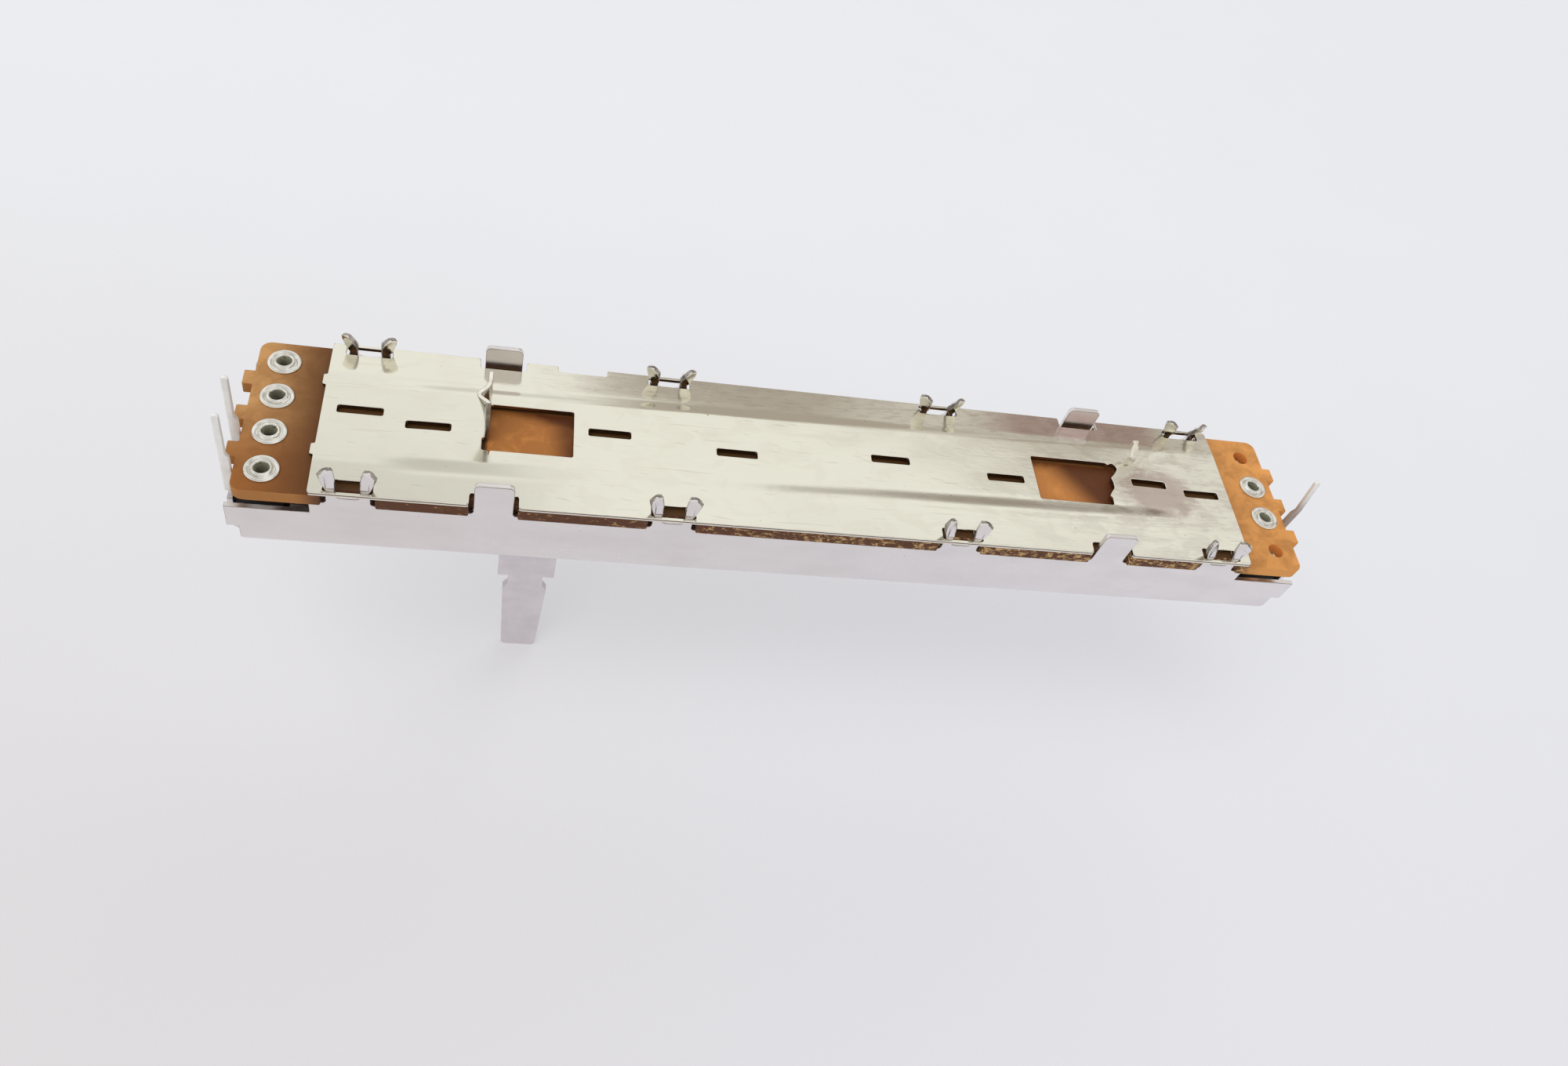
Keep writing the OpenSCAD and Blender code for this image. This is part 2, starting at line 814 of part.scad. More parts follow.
// A tubular eyelet with a rolled head on the board and a turned lip under it, grip deep below
module eyelet(x, y, grip) {
    bore_r = eyelet_bore_d / 2;
    head_r = (eyelet_head_d / 2 - bore_r) / 2;
    lip_r = (eyelet_lip_d / 2 - bore_r) / 2;
    lip_z = seat_h - grip;
    color("white")
        translate([x, y, 0])
            rotate_extrude() {
                patch([bore_r, lip_z - lip_r / 2], [barrel_d / 2, cover_z + eyelet_head_h / 2]);
                intersection() {
                    translate([bore_r + head_r, cover_z])
                        scale([1, eyelet_head_h / head_r])
                            circle(head_r);
                    patch([0, cover_z], [eyelet_head_d, cover_z + over]);
                }
                intersection() {
                    translate([bore_r + lip_r, lip_z])
                        circle(lip_r);
                    patch([0, lip_z - over], [eyelet_lip_d, lip_z]);
                }
            }
}

// Eyelets of the left end, counted from the far side
module eyelet_left_1() {
    eyelet(-eyelet_x, eyelet_ys[0], 0);
}

module eyelet_left_2() {
    eyelet(-eyelet_x, eyelet_ys[1], 0);
}

module eyelet_left_3() {
    eyelet(-eyelet_x, eyelet_ys[2], pin_sheet);
}

module eyelet_left_4() {
    eyelet(-eyelet_x, eyelet_ys[3], pin_sheet);
}

// Eyelets of the right end, which fill only its two middle holes
module eyelet_right_2() {
    eyelet(eyelet_x, eyelet_ys[1], 0);
}

module eyelet_right_3() {
    eyelet(eyelet_x, eyelet_ys[2], pin_sheet);
}

// A round guide shaft at y, chamfered and staked at both ends
module guide_shaft(y) {
    shaft_end = frame_end + shaft_proud;
    shaft_r = shaft_d / 2;
    color("slategray")
        translate([0, y, shaft_z])
            rotate([0, 90, 0])
                rotate_extrude()
                    polygon([
                        [0, -shaft_end], [shaft_r - shaft_chamfer, -shaft_end],
                        [shaft_r, shaft_chamfer - shaft_end], [shaft_r, shaft_end - shaft_chamfer],
                        [shaft_r - shaft_chamfer, shaft_end], [0, shaft_end]
                    ]);
}

// Guide shaft along the near wall
module guide_shaft_near() {
    guide_shaft(-shaft_y);
}

// Guide shaft along the far wall
module guide_shaft_far() {
    guide_shaft(shaft_y);
}

// A rubber bumper on a shaft at y, at the right end, with a chamfered stop face
module bumper(y) {
    hole_r = shaft_d / 2 + shaft_fit;
    rim_r = bumper_d / 2;
    color("black")
        translate([0, y, shaft_z])
            rotate([0, 90, 0])
                rotate_extrude()
                    polygon([
                        [hole_r, stop_x], [rim_r - bumper_chamfer, stop_x],
                        [rim_r, stop_x + bumper_chamfer], [rim_r, flap_in], [hole_r, flap_in]
                    ]);
}

// Bumpers of the near shaft
module bumper_near_left() {
    mirror([1, 0, 0])
        bumper(-shaft_y);
}

module bumper_near_right() {
    bumper(-shaft_y);
}

// Bumpers of the far shaft
module bumper_far_left() {
    mirror([1, 0, 0])
        bumper(shaft_y);
}

module bumper_far_right() {
    bumper(shaft_y);
}

// A sleeve and its web on the far side of the carriage, at its right end
module sleeve() {
    sleeve_out = carriage_len / 2;
    sleeve_in = sleeve_out - sleeve_len;
    rod(sleeve_in, sleeve_out, shaft_y, shaft_z, sleeve_d);
    block([sleeve_in, 0, shaft_z - web_half], [sleeve_out, shaft_y, shaft_z + web_half]);
}

// Pegs that are headed over the wiper
module wiper_pegs() {
    for (p = pegs)
        translate([p[0], p[1], deck_z - hair]) {
            cylinder(d = peg_d, h = hair + spring_sheet + peg_head_h);
            translate([0, 0, hair + spring_sheet])
                cylinder(d1 = peg_head_d, d2 = peg_d, h = peg_head_h);
        }
}

// Moulded carriage: block, four shaft sleeves (the near ones open at the side), lever pocket,
// spring recesses and wiper pegs
module carriage() {
    half = carriage_len / 2;
    bore_d = shaft_d + 2 * run_fit;
    slit = lever_t / 2 + lever_fit;
    stem_room = lever_w / 2 + lever_fit;
    head_room = head_w / 2 + lever_fit;
    bow_room = bow_len / 2 + bar_spare;
    bow_side = bow_w / 2 + bar_spare;
    color("ivory")
        translate([rest_x, 0, 0]) {
            difference() {
                union() {
                    block([-half, -carriage_w / 2, floor_z], [half, carriage_w / 2, deck_z]);
                    both_ends()
                        both_sides()
                            sleeve();
                }
                both_sides()
                    rod(-half - over, half + over, shaft_y, shaft_z, bore_d);
                along(-half - over, half + over)
                    patch([-wall_in, shaft_z - bore_d / 2], [-shaft_y, shaft_z + bore_d / 2]);
                across(-slit, slit) {
                    patch([-stem_room, floor_z - over], [stem_room, deck_z + over]);
                    patch([-head_room, head_z], [head_room, deck_z + over]);
                }
                both_sides()
                    along(-bow_room, bow_room)
                        patch([bow_y - bow_side, floor_z - over], [bow_y + bow_side, bow_seat]);
            }
            wiper_pegs();
        }
}

// The lever's outline: head, stem, neck and tapered knob blade
module lever_outline() {
    patch([-head_w / 2, head_z], [head_w / 2, deck_z]);
    patch([-lever_w / 2, -stem_len], [lever_w / 2, head_z + hair]);
    patch([-neck_w / 2, neck_z], [neck_w / 2, hair - stem_len]);
    polygon([
        [-neck_w / 2, neck_z + neck_slope], [-blade_w / 2, neck_z],
        [-tip_w / 2, tip_z + tip_chamfer], [tip_chamfer - tip_w / 2, tip_z],
        [tip_w / 2 - tip_chamfer, tip_z], [tip_w / 2, tip_z + tip_chamfer],
        [blade_w / 2, neck_z], [neck_w / 2, neck_z + neck_slope]
    ]);
}

// Stamped lever, hung by its head in the carriage
module lever() {
    color("lightsteelblue")
        translate([rest_x, 0, 0])
            across(-lever_t / 2, lever_t / 2)
                lever_outline();
}

// A point on a finger's curl at radius r and angle a
function curl(r, a) = [curl_x + r * cos(a), contact_z - curl_r + r * sin(a)];

// A wiper finger from the side: root, sloped beam and a curl that rides on the track
module finger_outline() {
    inner_r = curl_r - spring_sheet;
    bends = [for (a = [90 + finger_slope:-curl_step:curl_stop]) a];
    last = len(bends) - 1;
    root = bar_out - bar_spare;
    polygon(concat(
        [[root, deck_z], [root, brush_z], [bar_out, brush_z]],
        [for (a = bends) curl(curl_r, a)],
        [for (i = [0:last]) curl(inner_r, bends[last - i])],
        [[bar_out + spring_sheet * tan(finger_slope / 2), deck_z]]
    ));
}

// Wiper: a plate pegged to the carriage over the lever's head, with a comb of fingers per track
module wiper_brush() {
    color("goldenrod")
        translate([rest_x, 0, 0]) {
            translate([0, 0, deck_z])
                linear_extrude(spring_sheet)
                    difference() {
                        union() {
                            patch([bar_in, outer_y - comb_half - bar_spare], [bar_out, keeper_far]);
                            patch([bar_in, -keeper_near], [keeper_out, keeper_far]);
                        }
                        for (p = pegs)
                            translate(p)
                                circle(d = peg_d + 2 * lever_fit);
                    }
            for (y = [inner_y, outer_y], i = [0:finger_count - 1]) {
                near = y - comb_half + i * (finger_w + finger_gap);
                across(near, near + finger_w)
                    finger_outline();
            }
        }
}

// A friction spring: a bow between the carriage and the channel's floor
module friction_spring(y) {
    color("goldenrod")
        translate([rest_x, 0, 0])
            across(y - bow_w / 2, y + bow_w / 2)
                intersection() {
                    translate([0, bow_low + bow_r + spring_sheet])
                        difference() {
                            circle(bow_r + spring_sheet, $fn = bow_facets);
                            circle(bow_r, $fn = bow_facets);
                        }
                    patch([-bow_len / 2, 0], [bow_len / 2, bow_seat + spring_sheet]);
                }
}

// Friction spring on the near side of the lever
module friction_spring_near() {
    friction_spring(-bow_y);
}

// Friction spring on the far side of the lever
module friction_spring_far() {
    friction_spring(bow_y);
}

frame_channel();
cover_plate();
resistor_board();
resistive_track();
collector_track();
terminal_left_inner();
terminal_left_outer();
terminal_right();
eyelet_left_1();
eyelet_left_2();
eyelet_left_3();
eyelet_left_4();
eyelet_right_2();
eyelet_right_3();
guide_shaft_near();
guide_shaft_far();
bumper_near_left();
bumper_near_right();
bumper_far_left();
bumper_far_right();
carriage();
lever();
wiper_brush();
friction_spring_near();
friction_spring_far();
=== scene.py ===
import json
import math

import bmesh
import bpy
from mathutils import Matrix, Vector, geometry, kdtree


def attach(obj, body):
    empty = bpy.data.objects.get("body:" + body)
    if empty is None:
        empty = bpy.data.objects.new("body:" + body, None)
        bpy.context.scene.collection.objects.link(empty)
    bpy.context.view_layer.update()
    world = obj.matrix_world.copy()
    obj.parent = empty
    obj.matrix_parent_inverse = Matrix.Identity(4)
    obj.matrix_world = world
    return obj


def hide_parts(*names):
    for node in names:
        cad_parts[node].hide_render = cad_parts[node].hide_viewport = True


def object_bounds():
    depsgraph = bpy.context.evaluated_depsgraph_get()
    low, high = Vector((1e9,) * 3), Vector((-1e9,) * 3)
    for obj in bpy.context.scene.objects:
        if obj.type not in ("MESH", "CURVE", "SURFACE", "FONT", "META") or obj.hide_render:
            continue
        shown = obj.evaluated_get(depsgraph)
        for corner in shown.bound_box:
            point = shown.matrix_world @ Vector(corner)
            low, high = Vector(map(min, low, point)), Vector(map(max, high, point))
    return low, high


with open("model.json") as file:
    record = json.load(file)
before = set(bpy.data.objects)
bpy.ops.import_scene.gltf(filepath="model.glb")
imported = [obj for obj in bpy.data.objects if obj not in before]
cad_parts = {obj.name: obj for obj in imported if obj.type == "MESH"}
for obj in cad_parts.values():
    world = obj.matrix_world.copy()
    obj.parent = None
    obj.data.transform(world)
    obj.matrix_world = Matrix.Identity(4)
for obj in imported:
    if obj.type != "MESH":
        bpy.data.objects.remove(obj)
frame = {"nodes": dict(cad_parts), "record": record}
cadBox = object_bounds()
nodes = frame["nodes"]
mm = 0.001
print("frame loaded:", len(nodes), "nodes")


# Shader maths: a socket that takes part in Python expressions
class Sock:
    def __init__(self, finish, link):
        self.finish = finish
        self.link = link

    def calc(self, operation, *values):
        return self.finish.node("ShaderNodeMath", {"operation": operation}, dict(enumerate(values)))

    def atLeast(self, other):
        return self.calc("MAXIMUM", self, other)

    def __abs__(self):
        return self.calc("ABSOLUTE", self)

    def __add__(self, other):
        return self.calc("ADD", self, other)

    def __sub__(self, other):
        return self.calc("SUBTRACT", self, other)

    def __rsub__(self, other):
        return self.calc("SUBTRACT", other, self)

    def __mul__(self, other):
        return self.calc("MULTIPLY", self, other)

    def __truediv__(self, other):
        return self.calc("DIVIDE", self, other)

    __radd__ = __add__
    __rmul__ = __mul__


# A node tree that is being written, for a material or the world
class Finish:
    def __init__(self, tree):
        self.tree = tree
        tree.nodes.clear()

    # Any node: its settings are set first, then the values or links of its sockets
    def node(self, kind, settings=None, inputs=None, out=0):
        made = self.tree.nodes.new(kind)
        for key, value in (settings or {}).items():
            setattr(made, key, value)
        for key, value in (inputs or {}).items():
            if isinstance(value, Sock):
                self.tree.links.new(value.link, made.inputs[key])
            else:
                made.inputs[key].default_value = value
        return Sock(self, made.outputs[out]) if made.outputs else None

    def vector(self, operation, first, second, out=0):
        return self.node("ShaderNodeVectorMath", {"operation": operation}, {0: first, 1: second}, out)

    def dot(self, first, second):
        return self.vector("DOT_PRODUCT", first, second, "Value")

    # Place on the object in millimetres, stretched by the three factors
    def place(self, stretch=(1, 1, 1)):
        here = self.node("ShaderNodeTexCoord", out="Object")
        return self.vector("MULTIPLY", here, tuple(s / mm for s in stretch))

    def part(self, vector, axis):
        return self.node("ShaderNodeSeparateXYZ", None, {0: vector}, out=axis)

    def noise(self, scale, detail=3, stretch=(1, 1, 1), rough=0.5, warp=0, spot=None):
        values = {"Vector": spot or self.place(stretch), "Scale": scale, "Detail": detail}
        return self.node("ShaderNodeTexNoise", None, {**values, "Roughness": rough, "Distortion": warp})

    def noises(self, settings):
        return {name: self.noise(**setting) for name, setting in settings.items()}

    # Fine long lines: a noise that is turned, drawn out to the given length and cut to its peaks
    def scratch(self, scale, length, peaks, turn=0.0):
        turned = {"Vector": self.place(), "Angle": math.radians(turn)}
        way = self.node("ShaderNodeVectorRotate", {"rotation_type": "Z_AXIS"}, turned)
        drawn = self.vector("MULTIPLY", way, (1 / length, 1, 1))
        return self.smooth(self.noise(scale, detail=1, spot=drawn), peaks)

    # 0 at the first limit, 1 at the second, and smooth between
    def smooth(self, value, limits):
        inputs = {"Value": value, "From Min": limits[0], "From Max": limits[1]}
        return self.node("ShaderNodeMapRange", {"interpolation_type": "SMOOTHSTEP"}, inputs)

    # Sockets 6 and 7 of a mix are its two colours, and output 2 is their blend
    def blend(self, factor, first, second):
        first, second = (tone if isinstance(tone, Sock) else (*tone, 1.0) for tone in (first, second))
        sides = {"Factor": factor, 6: first, 7: second}
        return self.node("ShaderNodeMix", {"data_type": "RGBA"}, sides, out=2)

    def bump(self, height, distance=1.0, strength=1.0):
        values = {"Height": height, "Distance": distance * mm, "Strength": strength}
        return self.node("ShaderNodeBump", None, values)

    # 1 on upright faces and 0 on level ones
    def upright(self, limits):
        up = self.part(self.node("ShaderNodeNewGeometry", out="Normal"), "Z")
        return 1 - self.smooth(up * up, limits)

    # 1 for the rays that show a thing, straight, mirrored or through glass, and 0 for its light on others
    def seen(self):
        kinds = ("Is Camera Ray", "Is Glossy Ray", "Is Transmission Ray")
        straight, mirrored, through = (self.node("ShaderNodeLightPath", out=kind) for kind in kinds)
        return straight + mirrored + through

    def surface(self, **values):
        inputs = {name.replace("_", " "): value for name, value in values.items()}
        shader = self.node("ShaderNodeBsdfPrincipled", None, inputs)
        self.node("ShaderNodeOutputMaterial", None, {"Surface": shader})


# A share of the way from the first limit to the second, for numbers and sockets
def between(limits, share):
    low, high = limits
    return low + (high - low) * share


def newFinish(name):
    material = bpy.data.materials.new(name)
    material.use_nodes = True
    return material, Finish(material.node_tree)


def dress(piece, material):
    piece.data.materials.clear()
    piece.data.materials.append(material)


# Camera, fitted to the photo's cover corners, eyelets and lever
cameraSet = {
    "place": (-37.06, -91.67, 117.39),
    "turn": (36.898, -13.470, -4.719),
    "lens": 28.09,
    "sensor": 36.0,
    "clip": (5, 10000),
}


def makeCamera(values):
    lens = bpy.data.cameras.new("photoLens")
    lens.lens = values["lens"]
    lens.sensor_width = values["sensor"]
    lens.clip_start, lens.clip_end = (c * mm for c in values["clip"])
    camera = bpy.data.objects.new("photoCamera", lens)
    camera.location = [c * mm for c in values["place"]]
    camera.rotation_euler = [math.radians(a) for a in values["turn"]]
    bpy.context.scene.collection.objects.link(camera)
    bpy.context.scene.camera = camera


makeCamera(cameraSet)
print("camera set")


# Floor: a sheet of pale paper at the height of the lever's tip
floorSet = {
    "size": 4.0,
    "height": cadBox[0].z,
    "far": (0.86, 0.875, 0.905),
    "nearLeft": (0.755, 0.74, 0.755),
    "nearRight": (0.81, 0.815, 0.865),
    "depth": (-70, 130),
    "breadth": (-110, 110),
    "cloud": {"scale": 0.05},
    "cloudShare": 0.12,
    "fibre": {"scale": 2.5},
    "relief": {"distance": 0.05, "strength": 0.3},
    "glow": 0.45,
}


def makeFloor(values):
    half = values["size"] / 2
    sheet = bpy.data.meshes.new("floor")
    corners = [(x * half, y * half, values["height"]) for x, y in ((-1, -1), (1, -1), (1, 1), (-1, 1))]
    sheet.from_pydata(corners, [], [(0, 1, 2, 3)])
    floor = bpy.data.objects.new("floor", sheet)
    bpy.context.scene.collection.objects.link(floor)
    material, finish = newFinish("paper")
    spot = finish.place()
    # Painted light: the paper is lighter at the back and darker towards the front, most at the left
    right = finish.smooth(finish.part(spot, "X"), values["breadth"])
    away = finish.smooth(finish.part(spot, "Y"), values["depth"])
    tone = finish.blend(right, values["nearLeft"], values["nearRight"])
    tone = finish.blend(away, tone, values["far"])
    cloud = finish.noise(**values["cloud"]) * values["cloudShare"]
    tone = finish.blend(cloud, tone, values["nearLeft"])
    normal = finish.bump(finish.noise(**values["fibre"]), **values["relief"])
    lit = finish.node("ShaderNodeBsdfDiffuse", None, {"Color": tone, "Normal": normal})
    plain = finish.node("ShaderNodeEmission", None, {"Color": tone})
    glow = finish.seen() * values["glow"]
    mixed = finish.node("ShaderNodeMixShader", None, {0: glow, 1: lit, 2: plain})
    finish.node("ShaderNodeOutputMaterial", None, {"Surface": mixed})
    dress(floor, material)


makeFloor(floorSet)
print("floor laid")


# Light: a bright room, dimmer at the zenith outside one clear band, behind the camera and low at the back.
# The cover's far rim mirrors a dull stretch on the right with a lighter gap, and the near slope of its panel
# mirrors a dark patch overhead. The camera sees a plain backdrop
roomSet = {
    "sky": (0.98, 0.975, 0.965),
    "zenith": (0.66, 0.65, 0.64),
    "skySlant": (0.76, 0, -3.479),
    "skyRange": (-3.43, -2.43),
    "clear": ((-0.01, 0.07), (0.22, 0.29)),
    "plain": (0.86, 0.865, 0.885),
    "back": (0.80, 0.775, 0.755),
    "backWidth": (0.15, 0.75),
    "backEnd": (0.1, 0.5),
    "low": (0.74, 0.735, 0.72),
    "lowHeight": (0.30, 0.60),
    "lowWidth": (0.2, 0.6),
    "dull": (0.47, 0.415, 0.375),
    "dullSides": ((5.5, (-0.02, 0.03)), (40.0, (-0.06, 0.05))),
    "dullFade": 0.8,
    "dullHeight": (0.660, 0.712),
    "gapTurn": 25.0,
    "gapWidth": (0.0005, 0.006),
    "gapShare": 0.4,
    "overhead": (0.45, 0.20, 0.87),
    "overheadTone": (0.36, 0.315, 0.285),
    "overheadWidth": (0.957, 0.987),
    "lit": 0.62,
}
# One large soft lamp at the front left and a weak one behind, in metres; the metal doesn't mirror them
lampSets = {
    "topLamp": {"place": (-0.50, -0.36, 1.15), "size": 1.1, "power": 9.3},
    "backLamp": {"place": (0.50, 0.86, 0.70), "size": 0.8, "power": 2.4},
}


def makeRoom(values):
    world = bpy.data.worlds.new("room")
    bpy.context.scene.world = world
    world.use_nodes = True
    finish = Finish(world.node_tree)
    way = finish.node("ShaderNodeTexCoord", out="Generated")
    x, y, z = (finish.part(way, axis) for axis in "XYZ")

    # How far a direction lies to the right of an upright plane, which is turned by the angle
    def beside(turn):
        angle = math.radians(turn)
        return finish.dot(way, (math.cos(angle), -math.sin(angle), 0))

    start, end = (finish.smooth(x, limits) for limits in values["clear"])
    slant = finish.smooth(finish.dot(way, values["skySlant"]), values["skyRange"])
    sky = finish.blend(slant.atLeast(start * (1 - end)), values["zenith"], values["sky"])
    low = (1 - finish.smooth(z, values["lowHeight"])) * finish.smooth(y, values["lowWidth"])
    sky = finish.blend(low, sky, values["low"])
    behind = finish.smooth(y * -1, values["backWidth"]) * (1 - finish.smooth(x, values["backEnd"]))
    sky = finish.blend(behind, sky, values["back"])
    first, last = (finish.smooth(beside(turn), soft) for turn, soft in values["dullSides"])
    dull = first * (1 - last * values["dullFade"]) * (1 - finish.smooth(z, values["dullHeight"]))
    offGap = beside(values["gapTurn"])
    gap = 1 - finish.smooth(offGap * offGap, values["gapWidth"])
    sky = finish.blend(dull * (1 - gap * values["gapShare"]), sky, values["dull"])
    over = finish.dot(way, Vector(values["overhead"]).normalized())
    overhead = finish.smooth(over, values["overheadWidth"]) * end
    sky = finish.blend(overhead, sky, values["overheadTone"])
    sky = finish.blend(finish.node("ShaderNodeLightPath", out="Is Camera Ray"), sky, values["plain"])
    strength = between((values["lit"], 1), finish.seen())
    back = finish.node("ShaderNodeBackground", None, {"Color": sky, "Strength": strength})
    finish.node("ShaderNodeOutputWorld", None, {"Surface": back})


def makeLamp(name, values):
    light = bpy.data.lights.new(name, "AREA")
    light.size = values["size"]
    light.energy = values["power"]
    lamp = bpy.data.objects.new(name, light)
    lamp.location = values["place"]
    lamp.rotation_euler = Vector(values["place"]).to_track_quat("Z", "Y").to_euler()
    lamp.visible_glossy = False
    bpy.context.scene.collection.objects.link(lamp)


makeRoom(roomSet)
for name, values in lampSets.items():
    makeLamp(name, values)
bpy.context.scene.view_settings.view_transform = "Standard"
print("room lit")


# Bright tinplate of the cover: rolling lines, scratches, grime along the far rim and on the worn patches that
# also paints in part of a dull reflection there, dull worn patches towards the right, a tarnished stretch, a
# stain, and cut edges painted dark above a set height, a painted shade for the dark gap along them. Here and
# in the next finishes, cuts are where a mark starts and where it is whole, and shares are how strongly it
# shows
tinSet = {
    "tin": (0.825, 0.81, 0.695),
    "dull": (0.64, 0.59, 0.51),
    "rub": (0.50, 0.46, 0.40),
    "grimeAndReflection": (0.50, 0.44, 0.385),
    "fleck": (0.20, 0.18, 0.13),
    "stain": (0.53, 0.447, 0.385),
    "tarnish": (0.55, 0.39, 0.36),
    "edgeShade": (0.20, 0.15, 0.11),
    "cut": (0.84, 0.80, 0.72),
    "noises": {
        "wave": {"scale": 0.30, "stretch": (1, 1.5, 1), "warp": 0.4},
        "ripple": {"scale": 1.4, "detail": 2, "stretch": (0.7, 1, 1)},
        "grain": {"scale": 5, "detail": 2, "stretch": (0.22, 1, 1)},
        "rolled": {"scale": 5, "detail": 2, "stretch": (0.05, 1, 1)},
        "dirt": {"scale": 1.1, "detail": 5, "stretch": (0.45, 1, 1), "rough": 0.72},
        "streak": {"scale": 3.4, "detail": 4, "stretch": (0.10, 1, 1), "rough": 0.65},
        "patch": {"scale": 0.42, "detail": 4, "stretch": (0.6, 1, 1), "warp": 0.8},
        "fleck": {"scale": 1.3, "detail": 1},
    },
    "scratches": {
        "long": {"scale": 3.2, "length": 30, "peaks": (0.69, 0.75)},
        "short": {"scale": 2.4, "length": 9, "peaks": (0.71, 0.77), "turn": 8},
        "cross": {"scale": 2.8, "length": 14, "peaks": (0.72, 0.78), "turn": -62},
    },
    "cuts": {
        "worn": (15, 50),
        "wornSide": (-7.2, -5.4),
        "rimSide": (6.0, 7.5),
        "rimStart": (-34, -22),
        "rimEnd": (25, 50),
        "grimeAndReflection": (0.90, 1.25),
        "patch": (0.46, 0.64),
        "fleck": (0.80, 0.83),
        "tarnishSide": (6.9, 7.6),
        "tarnishStart": (21, 29),
        "tarnishEnd": (45, 49),
        "stain": (1.65, 2.45),
        "upright": (0.2, 0.5),
        "edgeShade": (9.93, 9.99),
    },
    "shares": {
        "rimEnd": 0.6,
        "rimGrimeAndReflection": 0.55,
        "wornGrimeAndReflection": 0.40,
        "patch": 0.30,
        "rolled": 0.07,
        "long": 0.16,
        "short": 0.25,
        "stain": 0.9,
        "fleck": 0.7,
    },
    "ranges": {
        "worn": (0.3, 1.0),
        "patch": (0.25, 1.0),
        "tarnish": (0.45, 0.95),
        "wave": (0.4, 2.6),
        "rough": (0.09, 0.30),
    },
    "stainAt": (45.2, -0.7),
    "stainHalf": (5.8, 4.2),
    "stainRagged": 2.6,
    "roughShares": {"patch": 0.6, "grimeAndReflection": 0.5, "rolled": 0.25, "scratch": 0.3},
    "heights": {"wave": 0.010, "ripple": 0.0018, "grain": 0.0020, "scratch": 0.0010},
}


def coverTin(values):
    material, finish = newFinish("coverTin")
    cuts, shares, ranges = values["cuts"], values["shares"], values["ranges"]
    noises = finish.noises(values["noises"])
    rolled, dirt = noises["rolled"], noises["dirt"]
    long, short, cross = (finish.scratch(**scratch) for scratch in values["scratches"].values())
    spot = finish.place()
    x, y, z = (finish.part(spot, axis) for axis in "XYZ")
    worn = finish.smooth(x, cuts["worn"]) * between(ranges["worn"], finish.smooth(y, cuts["wornSide"]))
    rim = finish.smooth(y, cuts["rimSide"]) * finish.smooth(x, cuts["rimStart"])
    rim = rim * (1 - finish.smooth(x, cuts["rimEnd"]) * shares["rimEnd"])
    # Grime along the far rim and on the worn patches, which also paints in part of the dull reflection there
    grimeAndReflection = finish.smooth(dirt + noises["streak"], cuts["grimeAndReflection"])
    grimeAndReflection = grimeAndReflection * (rim * shares["rimGrimeAndReflection"] + worn * shares["wornGrimeAndReflection"])
    patch = finish.smooth(noises["patch"], cuts["patch"]) * between(ranges["patch"], worn)
    fleck = finish.smooth(noises["fleck"], cuts["fleck"])
    tarnish = finish.smooth(y, cuts["tarnishSide"]) * finish.smooth(x, cuts["tarnishStart"])
    tarnish = tarnish * (1 - finish.smooth(x, cuts["tarnishEnd"])) * between(ranges["tarnish"], dirt)
    across = (x - values["stainAt"][0]) / values["stainHalf"][0]
    along = (y - values["stainAt"][1]) / values["stainHalf"][1]
    offStain = across * across + along * along + dirt * values["stainRagged"]
    stain = 1 - finish.smooth(offStain, cuts["stain"])
    tone = finish.blend(patch * shares["patch"] + rolled * shares["rolled"], values["tin"], values["dull"])
    tone = finish.blend(long * shares["long"] + short * shares["short"], tone, values["rub"])
    tone = finish.blend(grimeAndReflection, tone, values["grimeAndReflection"])
    tone = finish.blend(tarnish, tone, values["tarnish"])
    tone = finish.blend(stain * shares["stain"], tone, values["stain"])
    tone = finish.blend(fleck * shares["fleck"], tone, values["fleck"])
    # Painted shade: upright cut faces turn dark above a set height, for the dark gap along the sheet's edges
    cut = finish.blend(finish.smooth(z, cuts["edgeShade"]), values["cut"], values["edgeShade"])
    tone = finish.blend(finish.upright(cuts["upright"]), tone, cut)
    rough, heights = values["roughShares"], values["heights"]
    dulled = patch * rough["patch"] + grimeAndReflection * rough["grimeAndReflection"] + rolled * rough["rolled"]
    roughness = between(ranges["rough"], dulled + (long + cross) * rough["scratch"])
    height = noises["wave"] * between(ranges["wave"], worn) * heights["wave"]
    height = height + noises["ripple"] * heights["ripple"] + noises["grain"] * heights["grain"]
    height = height + (rolled - long - short - cross) * heights["scratch"]
    finish.surface(Base_Color=tone, Metallic=1.0, Roughness=roughness, Normal=finish.bump(height))
    return material


# Satin tinned steel of the channel
channelSet = {
    "tin": (0.85, 0.81, 0.805),
    "dull": (0.77, 0.73, 0.725),
    "fleck": (0.28, 0.27, 0.28),
    "noises": {
        "cloud": {"scale": 0.3, "detail": 4, "stretch": (0.5, 1, 1)},
        "rolled": {"scale": 4, "detail": 2, "stretch": (0.06, 1, 1)},
        "fleck": {"scale": 2.2, "detail": 2},
        "wave": {"scale": 0.5, "detail": 2},
    },
    "cuts": {"cloud": (0.35, 0.75), "fleck": (0.74, 0.80)},
    "shares": {"cloud": 0.5, "rolled": 0.2, "fleck": 0.6},
    "roughShares": {"cloud": 0.5, "rolled": 0.5},
    "heights": {"rolled": 0.0008, "wave": 0.004},
    "rough": (0.24, 0.40),
}


